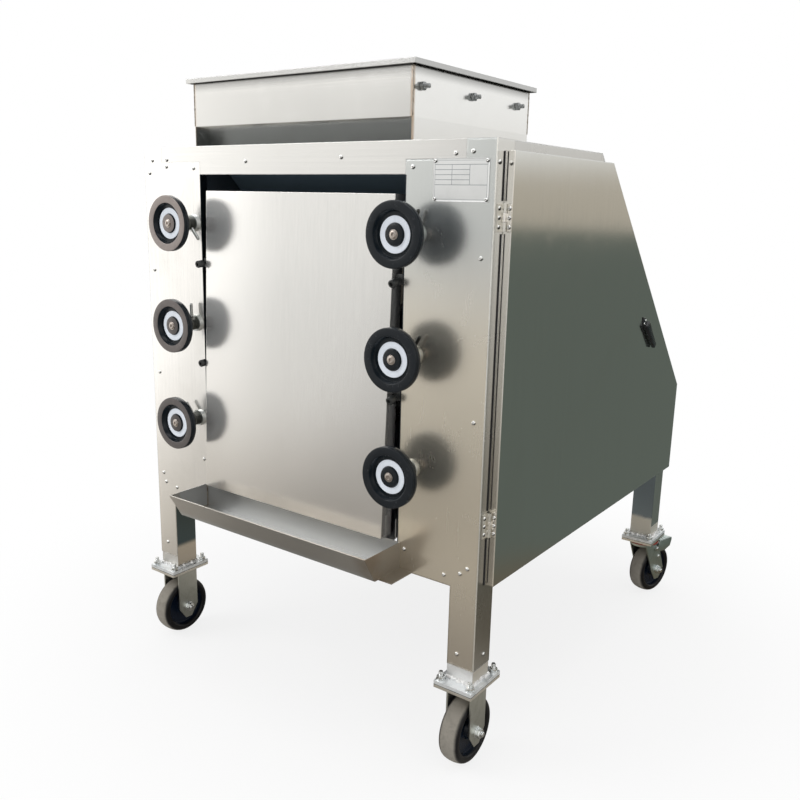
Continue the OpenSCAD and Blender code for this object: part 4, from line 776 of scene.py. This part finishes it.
# Handwheels: broad flat rim with a groove round it, deep dish, ring let into its floor
wheel = {
    "frontY": -81, "steps": 72, "clean": 0.02, "dusty": {"left_top": 0.85, "left_middle": 0.4, "left_low": 0.3},
    "profile": [(8.6, 6.2), (19.6, 6.2), (20.7, 6.7), (21.3, 8), (22.2, 10.6), (22.6, 10.2), (35.3, 10.2),
        (35.7, 10.8), (36.8, 11.1), (43, 10.8), (44.5, 9.4), (46.3, 1.6), (46.9, 0.6), (47.7, 0.1), (48.3, 0),
        (61.6, 0), (62.8, 0.3), (63.6, 1.1), (63.8, 2), (63.8, 4.6), (62.4, 5.5), (62.4, 7.6), (63.8, 8.5),
        (63.8, 14.4), (63.2, 15.9), (61.6, 16.8), (50.2, 16.8), (48.8, 16.4), (48, 15.8), (46.8, 15), (44.6, 14.6),
        (23, 14.6), (19.4, 16.5), (17.2, 22), (14.2, 36.8), (13.4, 38), (8.6, 38), (8.6, 6.2)],
}
for tag, side, x, z in stations:
    mesh = bmesh.new()
    turned(mesh, mm(wheel["profile"]), wheel["steps"], spot(x, wheel["frontY"], z), toBack)
    finish = handwheelFinish("handwheel_" + tag, spot(x, 0, z), wheel["dusty"].get(tag, wheel["clean"]))
    piece = finishPiece("wheel_" + tag, mesh, finish, "adjuster_" + tag)
    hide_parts("handwheel_" + tag)
print("handwheels turned")


# Adjusting screws: socket head on a washer in the hub, a plain shank and the thread between hub and lock collar
screw = {
    "head": [(0, -0.4), (3.4, -0.4), (3.8, -2.8), (6.8, -2.8), (7.6, -2.3), (7.8, -1.5), (7.8, -0.9), (9.6, -0.9),
        (9.9, -0.6), (9.9, 0), (8, 0)],
    "hubY": -75, "radius": 8, "tip": 1.2, "root": 7.9, "crest": 8.9, "pitch": 2.5, "from": -42.5, "to": -22,
    "shankSteps": 24, "steps": 20,
}
pitch = screw["pitch"]
turns = (screw["to"] - screw["from"]) / pitch - 1
ridge = [(screw["root"], 0), (screw["crest"], pitch * 0.4), (screw["crest"], pitch * 0.6), (screw["root"], pitch)]
for tag, side, x, z in stations:
    end = (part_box("adjusting_screw_" + tag)[1][1] - spot(0, screw["hubY"], 0)[1]) * 1000
    tip = [(screw["radius"], end - screw["tip"]), (screw["radius"] - screw["tip"], end), (0, end)]
    mesh = bmesh.new()
    turned(mesh, mm(screw["head"] + tip), screw["shankSteps"], spot(x, screw["hubY"], z), toBack)
    turned(mesh, mm(ridge), round(turns * screw["steps"]), spot(x, screw["from"], z), toBack, turns, pitch / 1000)
    piece = finishPiece("screw_" + tag, mesh, screwSteel, "adjuster_" + tag)
    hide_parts("adjusting_screw_" + tag)
print("screws cut")


# Panel screws: a lug in each slot and a dark socket screw that stands out of it
panelScrew = {
    "x": 286.5, "heights": (791, 1030), "lug": (20, 11, 22), "lugY": 7.5, "lugRound": 0.0015, "seatY": 3,
    "droop": {-1: 0.12, 1: 0.3},
    "profile": [(0, 0), (4.4, 0), (4.6, 14), (8.2, 14), (8.5, 14.4), (8.5, 27.8), (7.9, 28.9), (7, 29.3), (4.2, 29.3),
        (3.9, 25), (0, 25)],
}
mesh = bmesh.new()
for sign, droop in panelScrew["droop"].items():
    x = sign * panelScrew["x"]
    for z in panelScrew["heights"]:
        lug = block(panelScrew["lug"])
        soften(lug, lug.edges[:], panelScrew["lugRound"])
        join(mesh, lug, spot(x, panelScrew["lugY"], z))
        turned(mesh, mm(panelScrew["profile"]), 20, spot(x, panelScrew["seatY"], z), (0, -1, -droop))
piece = finishPiece("panelScrews", mesh, screwBlack, "cabinet")
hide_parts("panel_bolts")
print("panel screws set")


# Door seal: a black strip on the column beside a bright carrier strip, both broken at the hinges
doorSeal = {
    "runs": [(421, 522), (582, 1127), (1187, 1276)], "x": (499.9, 501.3), "round": 0.5,
    "strips": {"seal": (23.8, 28.6, sealBlack, "belt_rubber"), "carrier": (28.9, 32.2, sheetRight, "stainless")},
}
sealFrame = Matrix.Scale(0.001, 4) @ Matrix.Translation(-cabinetMiddle) @ standing
for part, (y0, y1, finish, slot) in doorSeal["strips"].items():
    mesh = bmesh.new()
    for low, high in doorSeal["runs"]:
        join(mesh, slab(oblong(y0, y1, low, high), *doorSeal["x"], doorSeal["round"]))
    carry(mesh, sealFrame)
    finishPiece("door_" + part, mesh, finish, "cabinet")
print("door seal laid")


# Door latch: a pointed back plate with two screws, and a turning grip
latch = {
    "at": (518.5, 782, 880), "plate": [(-36, 0), (-21, -10), (-12.5, -11), (-12.5, 11), (-21, 10)], "plateThick": 2.6,
    "plateRound": 1, "screws": [(-17, -5.5, 2.4), (-17, 5.5, 2.4)], "screwSize": 0.8,
    "grip": [(-11.5, -8.5), (-7, -10.5), (6, -10.5), (24, -8.5), (80, -8), (84, -6), (84, 6), (80, 8), (24, 8.5),
        (6, 10.5), (-7, 10.5), (-11.5, 8.5)],
    "gripLow": 3, "gripHigh": 12, "gripRound": 3.2, "boss": [(0, 0), (10.5, 0), (10.5, 2.4), (9.5, 3.4), (0, 3.4)],
    "spindle": [(0, -16), (5, -16), (5, 1), (0, 1)],
}
diagonal = math.sqrt(0.5)
down = Matrix(((0, 0, 1), (diagonal, diagonal, 0), (-diagonal, diagonal, 0)))
latchFrame = Matrix.Translation(spot(*latch["at"])) @ down.to_4x4() @ Matrix.Scale(0.001, 4)
mesh = slab(latch["plate"], 0, latch["plateThick"], latch["plateRound"])
carry(mesh, latchFrame)
finishPiece("latchPlate", mesh, bakelite, "door")
mesh = bmesh.new()
head = narrowed(hingeScrew["head"], latch["screwSize"])
for place in latch["screws"]:
    turned(mesh, head, 12, latchFrame @ Vector(place), toRight)
finishPiece("latchScrews", mesh, boltZinc, "door")
mesh = slab(latch["grip"], latch["gripLow"], latch["gripHigh"], latch["gripRound"])
carry(mesh, latchFrame)
turned(mesh, mm(latch["boss"]), 28, spot(*latch["at"]), toRight)
turned(mesh, mm(latch["spindle"]), 16, spot(*latch["at"]), toRight)
grip = finishPiece("latchGrip", mesh, bakelite, "latch")
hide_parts("door_latch")
print("latch fitted")


# Caster wheels: rounded grey tread on a black tyre, dished centre and hub
casterWheel = {
    "steps": 72,
    "profile": [(6.4, 26), (12, 26), (13.2, 25.2), (13.6, 22.4), (18.6, 21.6), (20, 20.2), (21, 12.6), (22.6, 10.4),
        (49.5, 9.4), (52.5, 10.4), (54.2, 14), (55.2, 20), (56.6, 22.2), (59, 23.4), (62.5, 23.9), (66, 23.6),
        (69, 22.2), (71.2, 19.8), (72.9, 16.2), (74.1, 11.2), (74.8, 5.6), (75, 0)],
}
axleNut = {
    "washer": [(0, 0), (13.5, 0), (13.5, 1.26), (12.9, 1.8), (0, 1.8)], "washerAt": 0.031, "nut": 11.8, "nutThick": 9,
    "nutAt": 0.0373, "chamfer": 1.1, "stud": [(0, 0), (6, 0), (6, 3.8), (4.8, 5), (0, 5)], "studAt": 0.0418,
}
wheelHolders = {
    "front_left": "cabinet", "front_right": "cabinet", "rear_left": "swivel_left", "rear_right": "swivel_right",
}
half = casterWheel["profile"]
tyreOutline = mm(half + [(r, -h) for r, h in reversed(half[:-1])] + half[:1])
tyreRadius = half[-1][0]
for tag, holder in wheelHolders.items():
    hub, along = axle("wheel_spin_" + tag)
    mesh = bmesh.new()
    turned(mesh, tyreOutline, casterWheel["steps"], hub, along)
    finish = tyreFinish("tyre_" + tag, hub, along)
    piece = finishPiece("casterWheel_" + tag, mesh, finish, "wheel_" + tag)
    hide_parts("caster_wheel_" + tag)
    mesh = bmesh.new()
    for out in (along, -along):
        turned(mesh, mm(axleNut["washer"]), 28, hub + out * axleNut["washerAt"], out)
        hexNut(mesh, axleNut, hub + out * axleNut["nutAt"], out)
    turned(mesh, mm(axleNut["stud"]), 20, hub + along * axleNut["studAt"], along)
    finishPiece("axleNuts_" + tag, mesh, boltZinc, holder)
print("caster wheels fitted")


# Brakes: side plates from the pivot to the tread, a ribbed tread and the shoe over the tyre
brake = {
    "ear": [(17, 152), (21, 144), (33, 138), (74, 134), (101, 143), (108, 163)], "earTop": (106, 44), "earFrom": 31.4,
    "earRound": 0.8, "thick": 3, "tread": [(-34.4, 47), (34.4, 47), (34.4, 101), (31, 104), (-31, 104), (-34.4, 101)],
    "treadRound": 1, "ribs": (60, 74, 88), "ribHalf": (25, 4), "ribSunk": 0.5, "ribTall": 1.5, "ribRound": 1.2,
    "shoe": oblong(-18, 18, 58, 72), "shoeSunk": 2, "shoeLift": 8.5, "shoeRound": 1, "eye": (33, 162),
    "eyeDisc": [(0, 0.0003), (0.0042, 0.0003), (0.0046, 0)],
    "pinCap": [(0.0055, 0), (0.0055, 0.0008), (0.0046, 0.0022), (0.003, 0.003), (0, 0.0032)], "pin": (26, 152),
    "pinOut": 37, "lowRivet": (46, 120), "lowRivetSize": 0.9, "cheekOut": 31,
}
lowCap = narrowed(brake["pinCap"], brake["lowRivetSize"])
for side in sideNames:
    node = "brake_pedal_" + side
    hub, out = axle("wheel_spin_rear_" + side)
    pivot = axle("swivel_turn_" + side)[0]
    columns = Matrix((out, (-out.y, out.x, 0), (0, 0, 1))).transposed().to_4x4()
    brakeFrame = Matrix.Translation((pivot.x, pivot.y, 0)) @ columns @ Matrix.Scale(0.001, 4)
    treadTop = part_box(node)[1][2] * 1000
    thick, earFrom = brake["thick"], brake["earFrom"]
    mesh = bmesh.new()
    earOutline = brake["ear"] + [(u, treadTop) for u in brake["earTop"]]
    for low in (earFrom, -earFrom - thick):
        ear = slab(earOutline, low, low + thick, brake["earRound"])
        carry(ear, standing)
        join(mesh, ear)
    join(mesh, slab(brake["tread"], treadTop - thick, treadTop, brake["treadRound"]))
    wide, deep = brake["ribHalf"]
    for at in brake["ribs"]:
        rib = oblong(-wide, wide, at - deep, at + deep)
        join(mesh, slab(rib, treadTop - brake["ribSunk"], treadTop + brake["ribTall"], brake["ribRound"]))
    shoeFoot = hub.z * 1000 + tyreRadius + brake["shoeLift"]
    join(mesh, slab(brake["shoe"], treadTop - brake["shoeSunk"], shoeFoot, brake["shoeRound"]))
    carry(mesh, brakeFrame)
    piece = finishPiece("brake_" + side, mesh, zincGreen, "pedal_" + side)
    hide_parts(node)
    eyes, rivets = bmesh.new(), bmesh.new()
    for way in (-1, 1):
        face = Vector(((earFrom + thick) * way, *brake["eye"]))
        # painted shade: thin black discs stand in for the holes through the ears
        turned(eyes, brake["eyeDisc"], 20, brakeFrame @ face, out * way)
        turned(rivets, brake["pinCap"], 18, brakeFrame @ Vector((brake["pinOut"] * way, *brake["pin"])), out * way)
        turned(rivets, lowCap, 18, brakeFrame @ Vector((brake["cheekOut"] * way, *brake["lowRivet"])), out * way)
    finishPiece("brakeEyes_" + side, eyes, sealBlack, "pedal_" + side)
    finishPiece("forkRivets_" + side, rivets, boltZinc, "swivel_" + side)
print("brakes fitted")


# Red dust seals over the swivels
seal = {"radius": 0.0435, "thick": 0.0028, "height": 0.1764}
r, t = seal["radius"], seal["thick"]
lip = [(r - 2.5 * t, -t * 0.5), (r + t * 0.6, -t * 0.8), (r + t, 0), (r + t * 0.6, t * 0.8), (r - 2.5 * t, t)]
mesh = bmesh.new()
for side in sideNames:
    pivot = axle("swivel_turn_" + side)[0]
    turned(mesh, lip + lip[:1], 32, (pivot.x, pivot.y, seal["height"]), toTop)
finishPiece("swivelSeals", mesh, sealRubber, "cabinet")
print("casters dressed")


# Caster bolts: low heads under the plates, washers, nuts and thread ends on top
plateBolt = {
    "x": (-36, 36), "y": (-48, 48), "top": 200, "under": 184, "washer": 10.5, "washerThick": 1.6, "nut": 9.3,
    "nutThick": 7.5, "chamfer": 1, "stud": 5, "root": 4.3, "end": 19, "pitch": 1.75,
    "head": [(0, -2), (5, -1.8), (7.6, -0.9), (8.2, 0), (0, 0)],
}
washer = [(0, 0), (plateBolt["washer"], 0), (plateBolt["washer"], plateBolt["washerThick"])]
end = [(plateBolt["root"], plateBolt["end"]), (0, plateBolt["end"])]
outline = mm(washer + threadOutline(plateBolt, plateBolt["washerThick"]) + end)
nutZ = plateBolt["top"] + plateBolt["washerThick"] + plateBolt["nutThick"] / 2
mesh = bmesh.new()
for x, y in legSpots:
    for foot in [(x + dx, y + dy) for dx in plateBolt["x"] for dy in plateBolt["y"]]:
        turned(mesh, outline, 14, spot(*foot, plateBolt["top"]), toTop)
        turned(mesh, mm(plateBolt["head"]), 14, spot(*foot, plateBolt["under"]), toTop)
        hexNut(mesh, plateBolt, spot(*foot, nutZ), toTop)
piece = finishPiece("plateBolts", mesh, boltZinc, "cabinet")
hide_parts("caster_bolts")
print("plate bolts set")


# Guard rods through the hopper, threaded at both ends and held by nuts
guardRod = {
    "y": (29, 216, 406), "z": 1398.5, "radius": 6, "shoulder": 307.4, "wall": 310.4, "threadFrom": 311.4, "nut": 9,
    "nutThick": 7, "chamfer": 0.9, "stud": 4.6, "root": 3.9, "end": 330, "pitch": 1.8,
}
half = [(guardRod["radius"], guardRod["shoulder"])] + threadOutline(guardRod, guardRod["threadFrom"])
half += [(0, guardRod["end"])]
outline = mm([(r, -h) for r, h in reversed(half)] + half)
nutX = guardRod["wall"] + guardRod["nutThick"] / 2
mesh = bmesh.new()
for y in guardRod["y"]:
    turned(mesh, outline, 16, spot(0, y, guardRod["z"]), toRight)
    for sign in (-1, 1):
        hexNut(mesh, guardRod, spot(sign * nutX, y, guardRod["z"]), toRight)
piece = finishPiece("guardRods", mesh, rodSteel, "cabinet")
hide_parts("hopper_guard_rods")
print("guard rods set")


# Camera, from the photograph's fitted view

view = {
    "eye": (1292.3102, -1375.4964, 1179.3067), "focalPixels": 844.28738, "picturePixels": 800, "sensor": 36,
    "right": (0.806735, 0.59048, 0.022624), "ahead": (-0.571035, 0.788872, -0.227159),
    "up": (-0.15198, 0.170337, 0.973595),
}
camera = placed("camera", bpy.data.cameras.new("camera"))
camera.data.lens = view["focalPixels"] * view["sensor"] / view["picturePixels"]
camera.data.sensor_width = view["sensor"]
axesMatrix = Matrix((view["right"], view["up"], [-c for c in view["ahead"]])).transposed()
camera.matrix_world = Matrix.Translation(spot(*view["eye"])) @ axesMatrix.to_4x4()
camera.data.clip_start = 0.05
scene.camera = camera


# Studio: white to the eye; polished metal sees a bright wall on the left, a warm floor in front, a dim one behind right

studio = {
    "left": (-0.6, 0.8, 0), "front": (-0.8, -0.6, 0), "behind": (0.57, 0.82, 0), "side": (0.87, -0.49, 0),
    "far": (1, 0.985, 0.95), "near": (1, 0.93, 0.82), "dim": (0.125, 0.145, 0.125), "dimNear": (0.15, 0.128, 0.092),
    "dimClose": (0.36, 0.31, 0.24), "skirting": (0.52, 0.47, 0.39), "backWall": (1, 1, 0.99),
    "ceiling": (0.36, 0.37, 0.38), "fill": (0.6, 0.6, 0.6), "paint": (0.86, 0.86, 0.86), "white": (1, 1, 1),
    "floorLevel": 0.06, "floorSteps": [(0.45, 0.8, 0.22), (0.8, 1.7, 0.26), (1.7, 4.5, 0.34)], "floorSize": 40,
}


def sideways(f, direction):  # 1 in front, brighter to the left, weaker straight ahead
    s = f.dot(direction, studio["left"])
    ahead = f.dot(direction, studio["front"]).ease(-0.2, 0.5)
    return 0.65 + ahead * (s.ease(-0.42, -0.28) * 0.34 + s.ease(-0.16, 0.02) * 0.7)


def behind(f, direction):
    return f.dot(direction, studio["behind"]).ease(0, 0.6)


def rays(f):  # whether the eye looks straight at a point, and whether polished metal mirrors it
    outputs = f.add("LightPath").socket.node.outputs
    eye, through, glossy = [Wire(f, outputs["Is " + kind + " Ray"]) for kind in ("Camera", "Transmission", "Glossy")]
    return eye.either(through), glossy


f = Finish("room", bpy.data.worlds.new("room"))
scene.world = f.holder
direction = f.add("TexCoord", out="Generated")
rise = f.axes(direction)[2]
back = behind(f, direction)
wall = f.mix(rise.ease(0.02, 0.08), studio["skirting"], studio["backWall"])
wall = f.mix(back, studio["far"], wall)
wall = f.mix(rise.ease(0.5, 0.8), wall, studio["ceiling"])
high = rise.ease(0.1, 0.4)
level = back + (1 - back) * (high + (1 - high) * sideways(f, direction))
level = level + f.dot(direction, studio["side"]).ease(0.78, 0.95) * 0.2
seen, glossy = rays(f)
room = f.add("Background", inputs={"Color": f.mix(glossy, studio["fill"], wall),
                                             "Strength": 1 - glossy + glossy * level})
white = f.add("Background", inputs={"Color": studio["white"], "Strength": 1})
f.add("OutputWorld", inputs=[f.add("MixShader", inputs=[seen, room, white])])

f, ground = begin("floor")
x, y, z = f.axes(ground)
distance = (x * x + y * y).root()
heading = f.add("VectorMath", {"operation": "NORMALIZE"}, [ground])
back = behind(f, heading)
tone = f.mix(distance.ease(0.8, 4.5), studio["near"], studio["far"])
# painted shadow: in mirrored rays the floor's glow is dark round the machine's feet, lighter right under it, and
# brightens with distance
level = studio["floorLevel"]
for start, full, gain in studio["floorSteps"]:
    level = level + distance.ease(start, full) * gain
level = level + (1 - distance.ease(0.35, 0.55)) * 0.3
straight = 1 - f.dot(heading, studio["left"]).ease(-0.72, -0.58)
level = level * sideways(f, heading) * (1 + straight * (1 - distance.ease(1.3, 1.8)) * 0.55)
dim = f.mix(distance.ease(0.9, 1.25), studio["dimNear"], studio["dim"])
dim = f.mix(distance.ease(0.36, 0.5), studio["dimClose"], dim)
seen, glossy = rays(f)
paint = f.add("BsdfDiffuse", inputs={"Color": studio["paint"]})
white = f.add("Emission", inputs={"Color": studio["white"], "Strength": 1})
mirror = f.add("Emission", inputs={"Color": f.mix(back, tone, dim), "Strength": back + (1 - back) * level})
paint = f.add("MixShader", inputs=[seen * (0.82 + distance.ease(0.75, 1.5) * 0.18), paint, white])
paint = f.add("MixShader", inputs=[glossy, paint, mirror])
f.add("OutputMaterial", inputs=[paint])
floorMesh = bmesh.new()
bmesh.ops.create_grid(floorMesh, x_segments=1, y_segments=1, size=studio["floorSize"])
floorData = bpy.data.meshes.new("floor")
floorMesh.to_mesh(floorData)
floorMesh.free()
floorData.materials.append(f.holder)
floor = placed("floor", floorData)

lamps = {
    "key": {"at": (-2.8, -3, 3.4), "size": (2.4, 2.4), "power": 70, "aim": (0, 0, 0.7), "mirrored": True},
    "top": {"at": (0.3, -0.3, 4.4), "size": (3, 3), "power": 60, "aim": (0, 0, 0.8), "mirrored": True},
    "strip": {"at": (3.3, -1.5, 1), "size": (0.5, 2), "power": 12, "aim": (0.3, -0.3, 1), "mirrored": False},
}
for name, lamp in lamps.items():
    data = bpy.data.lights.new(name, "AREA")
    data.shape = "RECTANGLE"
    data.size, data.size_y = lamp["size"]
    data.energy = lamp["power"]
    light = placed(name, data)
    light.visible_camera = False
    light.visible_glossy = lamp["mirrored"]
    light.location = lamp["at"]
    light.rotation_euler = (Vector(lamp["at"]) - Vector(lamp["aim"])).to_track_quat("Z", "Y").to_euler()
scene.view_settings.view_transform = "Standard"
print("studio lit")
